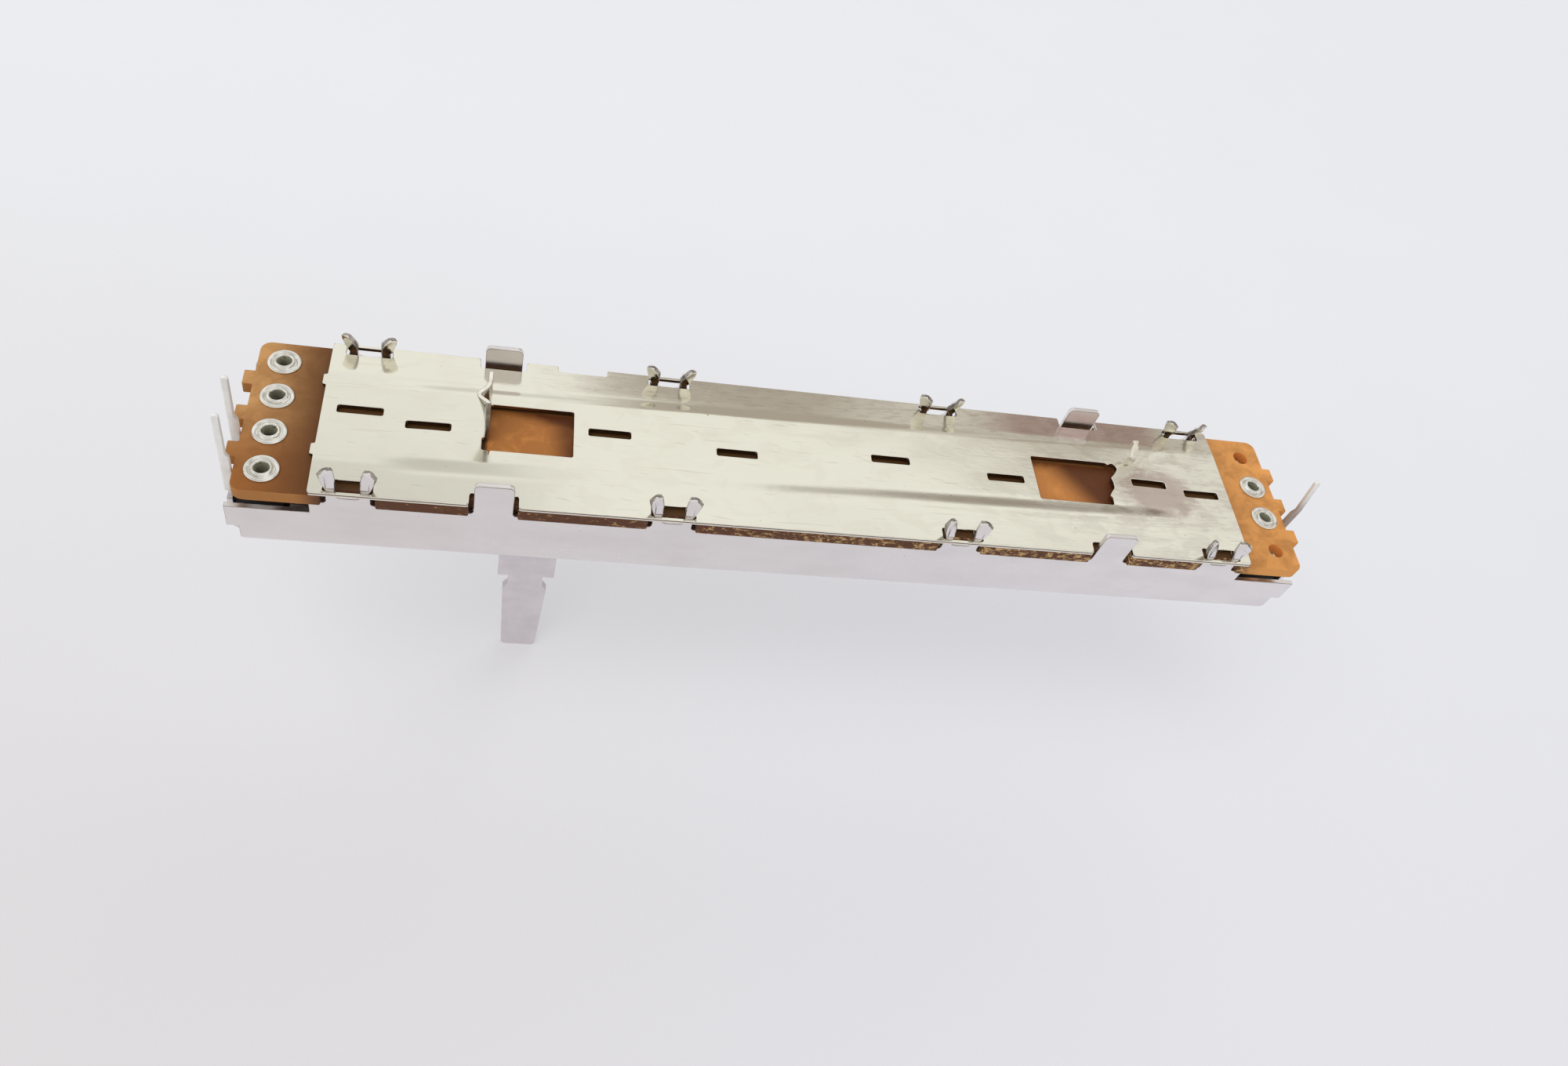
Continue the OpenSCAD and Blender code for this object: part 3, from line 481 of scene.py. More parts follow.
def channelTin(values):
    material, finish = newFinish("channelTin")
    cuts, shares = values["cuts"], values["shares"]
    rough, heights = values["roughShares"], values["heights"]
    noises = finish.noises(values["noises"])
    rolled = noises["rolled"]
    cloud = finish.smooth(noises["cloud"], cuts["cloud"])
    fleck = finish.smooth(noises["fleck"], cuts["fleck"])
    tone = finish.blend(cloud * shares["cloud"] + rolled * shares["rolled"], values["tin"], values["dull"])
    tone = finish.blend(fleck * shares["fleck"], tone, values["fleck"])
    roughness = between(values["rough"], cloud * rough["cloud"] + rolled * rough["rolled"])
    normal = finish.bump(rolled * heights["rolled"] + noises["wave"] * heights["wave"])
    finish.surface(Base_Color=tone, Metallic=1.0, Roughness=roughness, Normal=normal)
    return material


# Brown laminate: mottled faces, with painted light that turns them brighter and warmer towards the right end;
# painted shade beside the cover and towards the near side at the left end, and darker painted shade under the
# cover; bare board in the cover's two windows with painted shadow along their far and right edges; punched
# edges with golden flecks, and two bare holes
laminateSet = {
    "face": (0.60, 0.32, 0.12),
    "warm": (0.87, 0.39, 0.108),
    "dark": (0.19, 0.072, 0.022),
    "nearShade": (0.25, 0.074, 0.010),
    "shade": (0.125, 0.047, 0.014),
    "rim": (0.50, 0.22, 0.06),
    "under": (0.085, 0.040, 0.014),
    "window": (0.48, 0.185, 0.047),
    "shadowTone": (0.060, 0.014, 0.006),
    "edge": (0.115, 0.047, 0.023),
    "fleck": (0.70, 0.45, 0.20),
    "bore": (0.70, 0.27, 0.065),
    "noises": {
        "mottle": {"scale": 0.45, "detail": 5, "rough": 0.6, "warp": 0.5},
        "fibre": {"scale": 3.5, "stretch": (0.3, 1, 1)},
        "stain": {"scale": 0.16},
        "golden": {"scale": 1.9, "detail": 5, "stretch": (0.7, 1, 1.3), "rough": 0.75},
        "torn": {"scale": 3, "detail": 4},
    },
    "cuts": {
        "warm": (-40, 60),
        "mottle": (0.38, 0.68),
        "stain": (0.45, 0.75),
        "left": (-10, 10),
        "nearShade": (3, -9),
        "shade": (55.2, 63.0),
        "under": (55.1, 55.5),
        "windowSide": (3.2, 3.8),
        "windowWarm": (0.45, 0.7),
        "windowShadow": (2.2, 4.4),
        "upright": (0.35, 0.75),
        "golden": (-55, 20),
        "speck": (0.60, 0.72),
        "rim": (54, 57),
        "rimWarm": (54, 58),
        "bore": (1.2, 1.5),
    },
    "shares": {
        "warm": 0.9,
        "mottle": 0.36,
        "fibre": 0.10,
        "stain": 0.25,
        "nearShade": 0.8,
        "window": 0.8,
        "windowWarm": 0.3,
        "shadowTone": 0.9,
        "golden": 0.12,
        "speck": 0.85,
        "rim": 0.8,
        "rimWarm": 0.8,
        "rough": 0.15,
    },
    "ranges": {"shade": (0.26, 0.94), "torn": (0.008, 0.068), "rough": (0.38, 0.60)},
    "windows": (
        {"x": -33.0, "ends": (4.6, 5.2), "shadowRight": (-31.3, -28.2), "slant": 0.15, "share": 0.8, "lean": 0.35},
        {"x": 34.3, "ends": (5.7, 6.3), "shadowRight": (31.5, 36.8), "slant": 0.75, "share": 1.0, "lean": 0.0},
    ),
    "farRagged": 1.5,
    "rightRagged": 1.2,
    "boreAt": ((60.3, 7.44), (60.3, -7.80)),
    "specular": 0.2,
}


def laminate(values):
    material, finish = newFinish("laminate")
    cuts, shares, ranges = values["cuts"], values["shares"], values["ranges"]
    noises = finish.noises(values["noises"])
    mottle = noises["mottle"]
    spot = finish.place()
    x, y = finish.part(spot, "X"), finish.part(spot, "Y")
    out = abs(x)
    left = 1 - finish.smooth(x, cuts["left"])
    # Painted light: the face turns brighter and warmer towards the right end
    face = finish.blend(finish.smooth(x, cuts["warm"]) * shares["warm"], values["face"], values["warm"])
    dark = finish.smooth(mottle, cuts["mottle"]) * shares["mottle"] + noises["fibre"] * shares["fibre"]
    face = finish.blend(dark, face, values["dark"])
    face = finish.blend(finish.smooth(noises["stain"], cuts["stain"]) * shares["stain"], face, values["dark"])
    # Painted shade: at the left end the board turns darker and richer towards the near side
    face = finish.blend(finish.smooth(y, cuts["nearShade"]) * left * shares["nearShade"], face, values["nearShade"])
    # Painted shade next to the cover and under it, stronger at the left end
    shade = 1 - finish.smooth(out, cuts["shade"])
    face = finish.blend(shade * between(ranges["shade"], left), face, values["shade"])
    # Painted shade: the board turns dark under the cover, except in its windows
    under = 1 - finish.smooth(out, cuts["under"])
    for window in values["windows"]:
        off = x - window["x"]
        bare = 1 - finish.smooth(abs(off), window["ends"])
        bare = bare * (1 - finish.smooth(abs(y), cuts["windowSide"]))
        under = under * (1 - bare)
        face = finish.blend(bare * shares["window"], face, values["window"])
        warm = bare * finish.smooth(mottle, cuts["windowWarm"]) * shares["windowWarm"]
        face = finish.blend(warm, face, values["warm"])
        # Painted shadow in the windows, along the far edge and under the right edge
        far = finish.smooth(y + mottle * values["farRagged"] + off * window["lean"], cuts["windowShadow"])
        right = finish.smooth(x + y * window["slant"] + mottle * values["rightRagged"], window["shadowRight"])
        windowShadow = far.atLeast(right * window["share"])
        face = finish.blend(bare * windowShadow * shares["shadowTone"], face, values["shadowTone"])
    face = finish.blend(under, face, values["under"])
    side = finish.upright(cuts["upright"])
    golden = noises["golden"] + finish.smooth(x, cuts["golden"]) * shares["golden"]
    speck = finish.smooth(golden, cuts["speck"]) * shares["speck"]
    rim = finish.blend(speck, values["edge"], values["fleck"])
    rim = finish.blend(finish.smooth(out, cuts["rim"]) * shares["rim"], rim, values["rim"])
    # Painted light: the edges at the right end turn brighter and warmer
    rim = finish.blend(finish.smooth(x, cuts["rimWarm"]) * shares["rimWarm"], rim, values["warm"])
    tone = finish.blend(side, face, rim)
    for boreX, boreY in values["boreAt"]:
        off = (x - boreX) * (x - boreX) + (y - boreY) * (y - boreY)
        tone = finish.blend(side * (1 - finish.smooth(off, cuts["bore"])), tone, values["bore"])
    roughness = between(ranges["rough"], mottle) + side * shares["rough"]
    normal = finish.bump(noises["torn"] * between(ranges["torn"], side))
    finish.surface(Base_Color=tone, Roughness=roughness, Normal=normal, Specular_IOR_Level=values["specular"])
    return material


# Metals of the smaller pieces: two tones, a grain, a range of roughness, and on the right pin's root a
# painted shade and reflection of the brown board
metalMix = {
    "cloudCut": (0.35, 0.7),
    "tone": {"cloud": 0.6, "grain": 0.3},
    "rough": {"cloud": 0.5, "grain": 0.5},
    "rootShade": 0.9,
}
metalSets = {
    "eyelet": {"bright": (0.93, 0.92, 0.87), "dull": (0.64, 0.63, 0.57), "cloud": 0.9, "grain": 4,
               "stretch": (1, 1, 1), "rough": (0.10, 0.22), "relief": 0.004},
    # Painted shade: a darker, dull metal for the inside of the eyelets' bores
    "bore": {"bright": (0.42, 0.42, 0.31), "dull": (0.20, 0.20, 0.14), "cloud": 0.8, "grain": 4,
             "stretch": (1, 1, 1), "rough": (0.4, 0.6), "relief": 0.004, "metallic": 0.4},
    "pin": {"bright": (0.96, 0.96, 0.93), "dull": (0.86, 0.855, 0.83), "cloud": 0.6, "grain": 6,
            "stretch": (1, 1, 0.15), "rough": (0.36, 0.52), "relief": 0.002, "metallic": 0.4,
            "rootShade": (0.33, 0.255, 0.21), "rootShadeEnd": (58, 60), "rootShadeTop": (11.0, 16.5)},
    "lever": {"bright": (0.79, 0.74, 0.755), "dull": (0.70, 0.655, 0.675), "cloud": 0.35, "grain": 6,
              "stretch": (1, 1, 0.1), "rough": (0.34, 0.5), "relief": 0.002},
    "shaft": {"bright": (0.62, 0.63, 0.65), "dull": (0.45, 0.46, 0.48), "cloud": 0.4, "grain": 8,
              "stretch": (2, 1, 1), "rough": (0.15, 0.3), "relief": 0.001},
    "bronze": {"bright": (0.74, 0.50, 0.25), "dull": (0.52, 0.34, 0.17), "cloud": 0.5, "grain": 6,
               "stretch": (0.2, 1, 1), "rough": (0.2, 0.35), "relief": 0.001},
    "silverInk": {"bright": (0.62, 0.62, 0.62), "dull": (0.42, 0.42, 0.42), "cloud": 1.0, "grain": 7,
                  "stretch": (0.3, 1, 1), "rough": (0.4, 0.6), "relief": 0.002},
    # Painted highlight: a brighter, glossier copy of the tinplate for broken edges, the lug's caps, the scrap
    # and the ears' inner sides
    "highlight": {"bright": (0.94, 0.91, 0.81), "dull": (0.72, 0.69, 0.60), "cloud": 0.9, "grain": 3,
             "stretch": (1, 1, 1), "rough": (0.08, 0.2), "relief": 0.02},
    # Painted shade: a darker copy of the tinplate for the lug's broad sides
    "lug": {"bright": (0.74, 0.72, 0.64), "dull": (0.42, 0.40, 0.35), "cloud": 0.45, "grain": 3,
            "stretch": (1, 1, 0.3), "rough": (0.10, 0.24), "relief": 0.006},
    "shear": {"bright": (0.52, 0.48, 0.43), "dull": (0.22, 0.20, 0.18), "cloud": 0.9, "grain": 4,
              "stretch": (1, 1, 1), "rough": (0.25, 0.45), "relief": 0.02},
}


def metal(name, values, mix):
    material, finish = newFinish(name)
    cloud = finish.smooth(finish.noise(values["cloud"], detail=4), mix["cloudCut"])
    grain = finish.noise(values["grain"], stretch=values["stretch"])
    dull, rough = (cloud * mix[use]["cloud"] + grain * mix[use]["grain"] for use in ("tone", "rough"))
    tone = finish.blend(dull, values["bright"], values["dull"])
    # Painted shade and reflection of the board on the right pin's root
    if "rootShade" in values:
        spot = finish.place()
        end = finish.smooth(finish.part(spot, "X"), values["rootShadeEnd"])
        root = 1 - finish.smooth(finish.part(spot, "Z") + cloud, values["rootShadeTop"])
        tone = finish.blend(end * root * mix["rootShade"], tone, values["rootShade"])
    roughness = between(values["rough"], rough)
    normal = finish.bump(grain * values["relief"])
    metallic = values.get("metallic", 1.0)
    finish.surface(Base_Color=tone, Metallic=metallic, Roughness=roughness, Normal=normal)
    return material


# Dull finishes: rubber, carbon print and moulded plastic
mattSets = {
    "rubber": {"bright": (0.035, 0.035, 0.035), "dull": (0.02, 0.02, 0.02), "cloud": 0.8, "grain": 6,
               "rough": (0.6, 0.85), "relief": 0.01},
    "carbon": {"bright": (0.03, 0.03, 0.032), "dull": (0.018, 0.018, 0.02), "cloud": 0.7, "grain": 8,
               "rough": (0.5, 0.7), "relief": 0.002},
    "acetal": {"bright": (0.80, 0.78, 0.70), "dull": (0.70, 0.68, 0.60), "cloud": 0.3, "grain": 5,
               "rough": (0.3, 0.45), "relief": 0.003},
}


def matt(name, values):
    material, finish = newFinish(name)
    grain = finish.noise(values["grain"])
    tone = finish.blend(finish.noise(values["cloud"], detail=4), values["bright"], values["dull"])
    normal = finish.bump(grain * values["relief"])
    finish.surface(Base_Color=tone, Roughness=between(values["rough"], grain), Normal=normal)
    return material


metals = {name: metal(name + "Metal", values, metalMix) for name, values in metalSets.items()}
matts = {name: matt(name + "Finish", values) for name, values in mattSets.items()}
finishes = {
    "cover_tin": coverTin(tinSet),
    "frame_tin": channelTin(channelSet),
    "laminate": laminate(laminateSet),
    "carbon": matts["carbon"],
    "silver_ink": metals["silverInk"],
    "terminal_tin": metals["pin"],
    "eyelet_tin": metals["eyelet"],
    "shaft_steel": metals["shaft"],
    "rubber": matts["rubber"],
    "acetal": matts["acetal"],
    "lever_steel": metals["lever"],
    "bronze": metals["bronze"],
}

# Sheared edges of the solids are broken a little, each by its own width in millimetres
edgeBreaks = {
    "frame_channel": 0.06,
    "resistor_board": 0.14,
    "terminal_left_inner": 0.18,
    "terminal_left_outer": 0.18,
    "terminal_right": 0.18,
    "lever": 0.08,
    "carriage": 0.12,
}
edgeSet = {
    "weld": 0.001,
    "flat": 0.5,
    "sharp": 35,
    "steps": 2,
}


# The solids come as triangles, so their flat faces are joined first
def breakEdges(piece, width, solid=False, hard=False, finish=None):
    if solid:
        piece.modifiers.new("weld", "WELD").merge_threshold = edgeSet["weld"] * mm
        flat = piece.modifiers.new("flat", "DECIMATE")
        flat.decimate_type = "DISSOLVE"
        flat.angle_limit = math.radians(edgeSet["flat"])
    bevel = piece.modifiers.new("broken", "BEVEL")
    bevel.width = width * mm
    bevel.segments = edgeSet["steps"]
    bevel.limit_method = "ANGLE"
    bevel.angle_limit = math.radians(edgeSet["sharp"])
    bevel.use_clamp_overlap = False
    bevel.harden_normals = hard
    if finish:
        if finish.name not in piece.data.materials:
            piece.data.materials.append(finish)
        bevel.material = piece.data.materials.find(finish.name)
    if not hard:
        piece.modifiers.new("level", "WEIGHTED_NORMAL")


slots = {s["node"]: s["material_slot"] for s in frame["record"]["subparts"]}
for name, piece in nodes.items():
    dress(piece, finishes[slots[name]])
for name, width in edgeBreaks.items():
    sheared = metals["shear"] if name == "frame_channel" else None
    breakEdges(nodes[name], width, solid=True, finish=sheared)
print("finishes on", len(nodes), "pieces")


# A new piece of the case, from a bmesh drawn in millimetres
def newPiece(name, drawn, slot, materials=(), sharp=35):
    mesh = bpy.data.meshes.new(name)
    bmesh.ops.scale(drawn, vec=(mm, mm, mm), verts=drawn.verts)
    bmesh.ops.recalc_face_normals(drawn, faces=drawn.faces)
    drawn.to_mesh(mesh)
    drawn.free()
    mesh.shade_smooth()
    mesh.set_sharp_from_angle(angle=math.radians(sharp))
    piece = bpy.data.objects.new(name, mesh)
    bpy.context.scene.collection.objects.link(piece)
    for material in materials or (finishes[slot],):
        mesh.materials.append(material)
    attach(piece, "case")
    return piece


# A skin through rings of points, with a flat cap at each end unless the rings close on themselves. Columns
# and caps can have another of the piece's finishes
def skinRings(drawn, rings, caps=True, columnFinish=None, capFinish=0):
    rows = [[drawn.verts.new(point) for point in ring] for ring in rings]
    count = len(rows[0])
    for low, high in zip(rows, rows[1:]):
        for i in range(count):
            face = drawn.faces.new((low[i], low[(i + 1) % count], high[(i + 1) % count], high[i]))
            face.material_index = columnFinish[i] if columnFinish else 0
    if caps:
        for ring in (rows[0][::-1], rows[-1]):
            drawn.faces.new(ring).material_index = capFinish


def smoothStep(value, low, high):
    t = min(1.0, max(0.0, (value - low) / (high - low)))
    return t * t * (3 - 2 * t)


# Cover: the pressed sheet with its notches, slots, windows and raised panel. The panel's near slope widens
# right of the middle, and a dent is a depth, its waves along x and y, and where it starts
coverSet = {
    "end": 55.5,
    "half": 10.75,
    "top": 10.2,
    "sheet": 0.5,
    "corner": 0.35,
    "stub": {"y": 5.0, "wide": 1.5, "long": 0.4},
    "notch": {"x": 36.6, "wide": 5.2, "deep": 1.55},
    "key": {"x": -27.45, "wide": 5.7, "deep": 0.95},
    "vent": {"long": 4.85, "wide": 1.1},
    "vents": ((-51.5, 0.9), (-44.2, -0.6), (-24.3, 0.6), (-9.5, -0.6),
              (51.5, -0.3), (44.2, 0.6), (24.3, -0.6), (9.5, 0.6)),
    "lugWindow": ((-38.4, -3.35), (-37.7, -3.35), (-37.62, -4.2), (-37.5, -3.35), (-28.4, -3.35),
                  (-28.4, 3.35), (-37.65, 3.35), (-37.65, -1.55), (-38.4, -1.55)),
    "tornWindow": ((28.4, -3.35), (38.34, -3.35), (38.41, -2.06), (38.07, -1.97), (38.55, -1.25),
                   (39.09, -0.57), (39.13, 0.44), (38.96, 1.01), (39.70, 1.77), (40.25, 2.60),
                   (40.05, 3.09), (39.67, 3.48), (39.01, 3.06), (38.80, 3.40), (28.4, 3.40)),
    "crimpSlot": {
        "xs": (-51.5, -17.17, 17.17, 51.5),
        "inner": {-1: 8.85, 1: 9.15},
        "outer": 10.4,
        "half": 2.5,
    },
    "holeCorner": 0.15,
    "panel": {
        "end": 50.0,
        "half": 6.2,
        "shift": 0.45,
        "skew": 0.019,
        "rise": 0.45,
        "slope": 1.35,
        "fade": (0, 7),
        "widen": (0.12, 0.65),
        "widenFrom": (-8, 8),
        "groove": (0.035, 0.010),
        "grooveAt": -0.25,
        "grooveWide": 0.32,
        "grooveEnd": (-25, 5),
    },
    "dents": ((0.008, 0.19, 0.5, 0.0), (0.005, 0.47, -0.9, 1.0)),
    "fall": 0.055,
    "flat": 6.5,
    "cellsX": 1.5,
    "cellsY": 0.25,
    "pitch": 0.5,
    "clear": 0.4,
    "merge": 0.0001,
    "edge": 0.07,
}


# A closed outline with its corners rounded, as flat points; a corner takes at most its share of a side
def roundCorners(points, radius, steps=4, share=0.4):
    rounded = []
    for i, here in enumerate(points):
        here = Vector(here)
        back = Vector(points[i - 1]) - here
        ahead = Vector(points[(i + 1) % len(points)]) - here
        reach = min(radius, back.length * share, ahead.length * share)
        first = here + back.normalized() * reach
        last = here + ahead.normalized() * reach
        for k in range(steps + 1):
            t = k / steps
            rounded.append(first * (1 - t) ** 2 + here * (2 * t * (1 - t)) + last * t * t)
    return rounded


def within(spot, loop):
    inside = False
    for first, last in zip(loop, loop[1:] + loop[:1]):
        if (first.y > spot.y) != (last.y > spot.y):
            reach = first.x + (last.x - first.x) * (spot.y - first.y) / (last.y - first.y)
            inside = inside != (spot.x < reach)
    return inside


# Points along a closed outline, no further apart than the pitch
def divide(loop, pitch):
    points = []
    for i, here in enumerate(loop):
        ahead = loop[(i + 1) % len(loop)]
        count = max(1, math.ceil((ahead - here).length / pitch))
        points += [here.lerp(ahead, k / count) for k in range(count)]
    return points


def rectangle(x, y, long, wide):
    return [(x - long / 2, y - wide / 2), (x + long / 2, y - wide / 2),
            (x + long / 2, y + wide / 2), (x - long / 2, y + wide / 2)]


def coverOutline(values):
    end, half = values["end"], values["half"]
    notch, key, stub = values["notch"], values["key"], values["stub"]

    # A step into a long side, from left to right
    def bite(x, side, shape):
        low, high = x - shape["wide"] / 2, x + shape["wide"] / 2
        inner = side * (half - shape["deep"])
        return [(low, side * half), (low, inner), (high, inner), (high, side * half)]

    def knob(y):
        out = -end - stub["long"]
        high, low = y + stub["wide"] / 2, y - stub["wide"] / 2
        return [(-end, high), (out, high), (out, low), (-end, low)]

    points = [(-end, -half)]
    for x in (-notch["x"], notch["x"]):
        points += bite(x, -1, notch)
    points += [(end, -half), (end, half)]
    for x, shape in ((notch["x"], notch), (key["x"], key), (-notch["x"], notch)):
        points += bite(x, 1, shape)[::-1]
    points.append((-end, half))
    return points + knob(stub["y"]) + knob(-stub["y"])


# The outline and the holes of the cover, each as a closed row of points
def coverLoops(values):
    vent, slot = values["vent"], values["crimpSlot"]
    holes = [rectangle(x, y, vent["long"], vent["wide"]) for x, y in values["vents"]]
    holes += [values["lugWindow"], values["tornWindow"]]
    for side, inner in slot["inner"].items():
        middle, deep = side * (inner + slot["outer"]) / 2, slot["outer"] - inner
        holes += [rectangle(x, middle, 2 * slot["half"], deep) for x in slot["xs"]]
    loops = [roundCorners(coverOutline(values), values["corner"])]
    loops += [roundCorners(hole, values["holeCorner"], steps=1) for hole in holes]
    return [divide(loop, values["pitch"]) for loop in loops]


# How high the sheet's top stands above its edge at a place: falling rim, raised panel and slight dents
def coverRise(x, y, values):
    panel = values["panel"]
    across = panel["half"] - abs(y - panel["shift"] - panel["skew"] * x)
    whole = smoothStep(panel["end"] - abs(x), *panel["fade"])
    wider = smoothStep(x, *panel["widenFrom"]) * (y < 0)
    foot, head = (w * wider for w in panel["widen"])
    raised = smoothStep(across, -foot, panel["slope"] + head) * whole
    deep = panel["groove"][y > 0] * (1 - smoothStep(x, *panel["grooveEnd"]))
    groove = deep * whole * math.exp(-((across - panel["grooveAt"]) / panel["grooveWide"]) ** 2)
    level = values["fall"] * (values["half"] - values["flat"])
    rim = min(level, values["fall"] * (values["half"] - abs(y)))
    dents = sum(dent * math.sin(u * x + v * y + start) for dent, u, v, start in values["dents"])
    return rim + raised * (panel["rise"] - level + dents) - groove


def makeCover(values):
    loops = coverLoops(values)
    points, edges = [], []
    for loop in loops:
        first = len(points)
        edges += [(first + i, first + (i + 1) % len(loop)) for i in range(len(loop))]
        points += loop
    rim = kdtree.KDTree(len(points))
    for i, point in enumerate(points):
        rim.insert((*point, 0), i)
    rim.balance()
    columns, rows = int(values["end"] / values["cellsX"]), int(values["half"] / values["cellsY"])
    for column in range(-columns, columns + 1):
        for row in range(-rows, rows + 1):
            spot = Vector((column * values["cellsX"], row * values["cellsY"]))
            if rim.find((*spot, 0))[2] > values["clear"]:
                points.append(spot)
    places, _, faces = geometry.delaunay_2d_cdt(points, edges, [], 0, values["merge"], False)[:3]
    drawn = bmesh.new()
    corners = [drawn.verts.new((*place, 0)) for place in places]
    boxes = [[(min(p[k] for p in loop), max(p[k] for p in loop)) for k in (0, 1)] for loop in loops]
    for face in faces:
        middle = sum((places[i] for i in face), Vector((0, 0))) / len(face)
        near = [loop for loop, box in zip(loops, boxes)
                if all(low < middle[k] < high for k, (low, high) in enumerate(box))]
        if [within(middle, loop) for loop in near].count(True) == 1:
            drawn.faces.new([corners[i] for i in face])
    bmesh.ops.delete(drawn, geom=[v for v in drawn.verts if not v.link_faces], context="VERTS")
    for vert in drawn.verts:
        vert.co.z = values["top"] + coverRise(vert.co.x, vert.co.y, values)
    sheet = bmesh.ops.extrude_face_region(drawn, geom=drawn.faces[:])
    low = [item for item in sheet["geom"] if isinstance(item, bmesh.types.BMVert)]
    bmesh.ops.translate(drawn, vec=(0, 0, -values["sheet"]), verts=low)
    piece = newPiece("coverSheet", drawn, "cover_tin")
    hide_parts("cover_plate")
    # The cover's broken edges take a brighter finish, a painted highlight
    breakEdges(piece, values["edge"], hard=True, finish=metals["highlight"])


makeCover(coverSet)
print("cover pressed")


# Earth lug of the left window: bent up, its top edge crumpled; seen from above it is an S
lugSet = {
    "x": -37.9,
    "yStart": 3.35,
    "wide": 4.9,
    "foot": 10.15,
    "high": 6.0,
    "thick": 0.5,
    "crumple": 1.1,
    "kink": 2.4,
    "droop": 0.15,
    "droopWave": (5, 0.5),
    "probe": 0.01,
    "edge": 0.06,
}


def makeLug(values, columns=28, rows=10):
    waves, start = values["droopWave"]

    def centre(u, v):
        wave = (1 - math.cos(2 * math.pi * u ** values["kink"])) / 2
        x = values["x"] - values["crumple"] * v * v * wave
        return Vector((x, values["yStart"] - values["wide"] * u, 0))

    rings = []
    for j in range(rows + 1):
        v = j / rows
        ring = []
        for side in (1, -1):
            for i in range(columns + 1):
                u = (i if side > 0 else columns - i) / columns
                step = centre(min(1, u + values["probe"]), v) - centre(max(0, u - values["probe"]), v)
                out = Vector((-step.y, step.x, 0)).normalized()
                point = centre(u, v) + out * side * values["thick"] / 2
                droop = values["droop"] * math.sin(waves * u + start) * v
                ring.append((point.x, point.y, values["foot"] + v * values["high"] - droop))
        rings.append(ring)
    drawn = bmesh.new()
    # Each half of a ring is a broad side and then one sheared edge; the broad sides take a darker copy of the
    # tinplate, a painted shade, and the caps a brighter finish, a painted highlight
    half = [0] * columns + [1]
    skinRings(drawn, rings, columnFinish=half + half, capFinish=2)
    piece = newPiece("earthLug", drawn, "cover_tin", (metals["lug"], metals["shear"], metals["highlight"]))
    breakEdges(piece, values["edge"], finish=metals["shear"])


# Scrap of the right lug, torn off and curled away, all in a brighter finish, a painted highlight
scrapSet = {
    "x": 42.3,
    "y": 3.9,
    "wide": 1.25,
    "ends": 0.42,
    "bulge": 0.85,
    "foot": 10.2,
    "high": 2.75,
    "lean": 1.7,
    "bow": 0.28,
    "thick": 0.30,
    "edge": 0.05,
}


def makeScrap(values, rows=12, across=8):
    rings = []
    for j in range(rows + 1):
        v = j / rows
        half = values["wide"] / 2 * between((values["ends"], 1), math.sin(math.pi * v ** values["bulge"]))
        y = values["y"] + values["lean"] * v * v
        tilt = 2 * values["lean"] * v / values["high"]
        ring = []
        for side in (-1, 1):
            for i in range(across + 1):
                u = (2 * i / across - 1) * -side
                back = side * values["thick"] / 2 - values["bow"] * v * u * u
                z = values["foot"] + values["high"] * v - back * tilt
                ring.append((values["x"] + half * u, y + back, z))
        rings.append(ring)
    drawn = bmesh.new()
    skinRings(drawn, rings)
    breakEdges(newPiece("lugScrap", drawn, "cover_tin", (metals["highlight"],)), values["edge"])


makeLug(lugSet)
makeScrap(scrapSet)
print("lugs bent")


# Crimp ears: each prong of the channel is twisted and spread over the cover. The tips are how much the last
# rings shrink and rise, which rounds the end
earSet = {
    "xs": (-51.5, -17.17, 17.17, 51.5),
    "prong": 1.725,
    "mid": 10.05,
    "foot": 10.15,
    "wide": (0.85, 1.5),
    "thick": 0.62,
    "grow": 1.08,
    "long": 2.3,
    "tips": ((1.0, 0.0), (0.93, 0.06), (0.74, 0.10)),
    "crown": 0.25,
    "lean": 12,
    "tipLean": 10,
    "turn": 35,
    "round": 0.30,
    "square": 7.0,
    "edgeColumns": 2,
    "sharp": 50,
}


def earRings(x, wall, side, values, around, rows):
    lean, tipLean = (math.tan(math.radians(values[key])) for key in ("lean", "tipLean"))
    power = 2 / values["square"]
    rings = []
    for j in range(rows + len(values["tips"])):
        v = min(1.0, j / rows)
        shrink, beyond = values["tips"][max(0, j - rows)]
        rise = values["long"] * v + beyond
        twist = math.radians(side * values["turn"] * v)
        cosT, sinT = math.cos(twist), math.sin(twist)
        wide = between(values["wide"], math.sin(math.pi / 2 * v))
        ring = []
        for i in range(around):
            a = 2 * math.pi * i / around
            u, w = (math.copysign(abs(c) ** power, c) for c in (math.cos(a), math.sin(a)))
            along = u * wide / 2 * values["grow"] * shrink
            skin = w * values["thick"] / 2 * values["grow"] * shrink
            px = side * (values["prong"] + rise * lean) + (along * cosT - skin * sinT)
            py = values["mid"] - rise * tipLean + (along * sinT + skin * cosT)
            pz = values["foot"] + rise + values["crown"] * v - values["round"] * v * u * u
            ring.append((x + px, wall * py, pz))
        rings.append(ring)
    return rings


def makeEars(values, around=28, rows=12):
    drawn = bmesh.new()
    half = around // 2
    # The outer side is satin; the inner side takes a brighter finish, a painted highlight on the same metal;
    # and the narrow edges are sheared
    columnFinish = []
    for i in range(around):
        edge = min(i % half, half - 1 - i % half) < values["edgeColumns"]
        columnFinish.append(1 if edge else 2 * (i // half))
    for x in values["xs"]:
        for wall in (-1, 1):
            for side in (-1, 1):
                rings = earRings(x, wall, side, values, around, rows)
                skinRings(drawn, rings, columnFinish=columnFinish, capFinish=1)
    materials = (finishes["frame_tin"], metals["shear"], metals["highlight"])
    newPiece("crimpEars", drawn, "frame_tin", materials, values["sharp"])


makeEars(earSet)
print("ears spread")


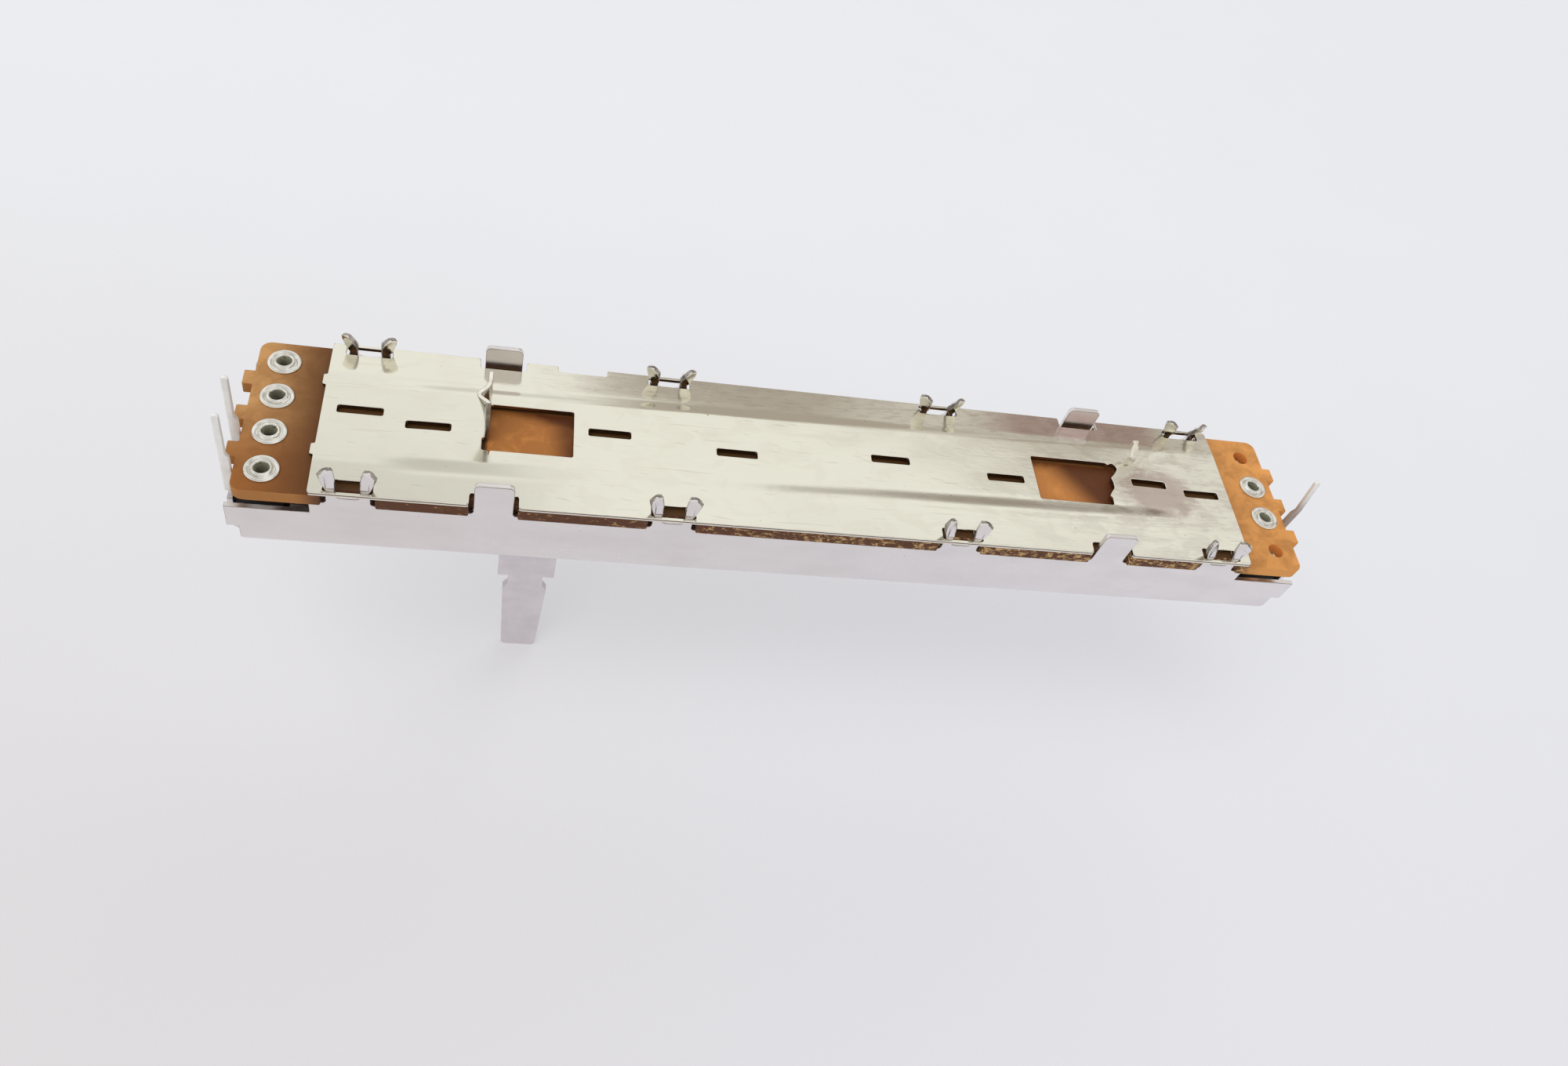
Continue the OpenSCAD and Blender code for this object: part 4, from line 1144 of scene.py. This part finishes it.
# Eyelets: a rolled flange on the board, a raised uneven collar, a flared bore and a turned lip under the
# board. A wave is its count around, its size and its share of the eyelet's own start; a place ends with the
# grip of the lip
eyeletSet = {
    "board": 9.7,
    "under": 8.1,
    "head": ((1.74, 0.0), (1.80, 0.08), (1.78, 0.17), (1.68, 0.23), (1.52, 0.25), (1.38, 0.20),
             (1.29, 0.09), (1.22, 0.11), (1.14, 0.30), (1.05, 0.43), (0.94, 0.47), (0.86, 0.43),
             (0.78, 0.28), (0.69, 0.02), (0.63, -0.35), (0.60, -0.80)),
    "inside": 0.74,
    "lip": ((0.62, 0.05), (0.72, -0.16), (0.95, -0.30), (1.20, -0.28), (1.38, -0.14), (1.40, 0.0)),
    "barrel": 0.97,
    "collar": {"radius": 1.2, "soft": 0.2, "height": (0.1, 0.3), "out": 0.025, "up": 0.03},
    "waves": ((3, 1.0, 1), (5, 0.6, 2)),
    "start": (0.37, 1.7),
    "weld": 0.0005,
    "sharp": 50,
    "places": {
        "eyelet_left_1": (-60.3, 7.44, 0),
        "eyelet_left_2": (-60.3, 2.36, 0),
        "eyelet_left_3": (-60.3, -2.72, 0.5),
        "eyelet_left_4": (-60.3, -7.80, 0.5),
        "eyelet_right_2": (60.3, 2.36, 0),
        "eyelet_right_3": (60.3, -2.72, 0.5),
    },
}


def makeEyelet(name, x, y, grip, values, around=56):
    board, collar = values["board"], values["collar"]
    start = x * values["start"][0] + y * values["start"][1]
    lipZ = values["under"] - grip
    profile = [(values["barrel"], lipZ), (values["barrel"], board)]
    profile += [(r, board + z) for r, z in values["head"]]
    profile += [(r, lipZ + z) for r, z in values["lip"]]
    rings = []
    for r, z in profile:
        ring = []
        share = smoothStep(collar["radius"] - r, 0.0, collar["soft"])
        share *= smoothStep(z, *(board + rise for rise in collar["height"]))
        for i in range(around):
            a = 2 * math.pi * i / around
            uneven = sum(size * math.sin(count * a + k * start) for count, size, k in values["waves"]) * share
            wide = r * (1 + collar["out"] * uneven)
            ring.append((x + wide * math.cos(a), y + wide * math.sin(a), z + collar["up"] * uneven))
        rings.append(ring)
    drawn = bmesh.new()
    skinRings(drawn, rings + rings[:1], caps=False)
    bmesh.ops.remove_doubles(drawn, verts=drawn.verts, dist=values["weld"])
    # Faces inside the bore take the darker bore metal, a painted shade in the hole
    for face in drawn.faces:
        middle = face.calc_center_median()
        face.material_index = int(math.hypot(middle.x - x, middle.y - y) < values["inside"])
    materials = (metals["eyelet"], metals["bore"])
    piece = newPiece(name.replace("eyelet", "rivet"), drawn, "eyelet_tin", materials, values["sharp"])
    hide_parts(name)


for name, (x, y, grip) in eyeletSet["places"].items():
    makeEyelet(name, x, y, grip, eyeletSet)
print("eyelets set:", len(eyeletSet["places"]))

bpy.context.view_layer.update()
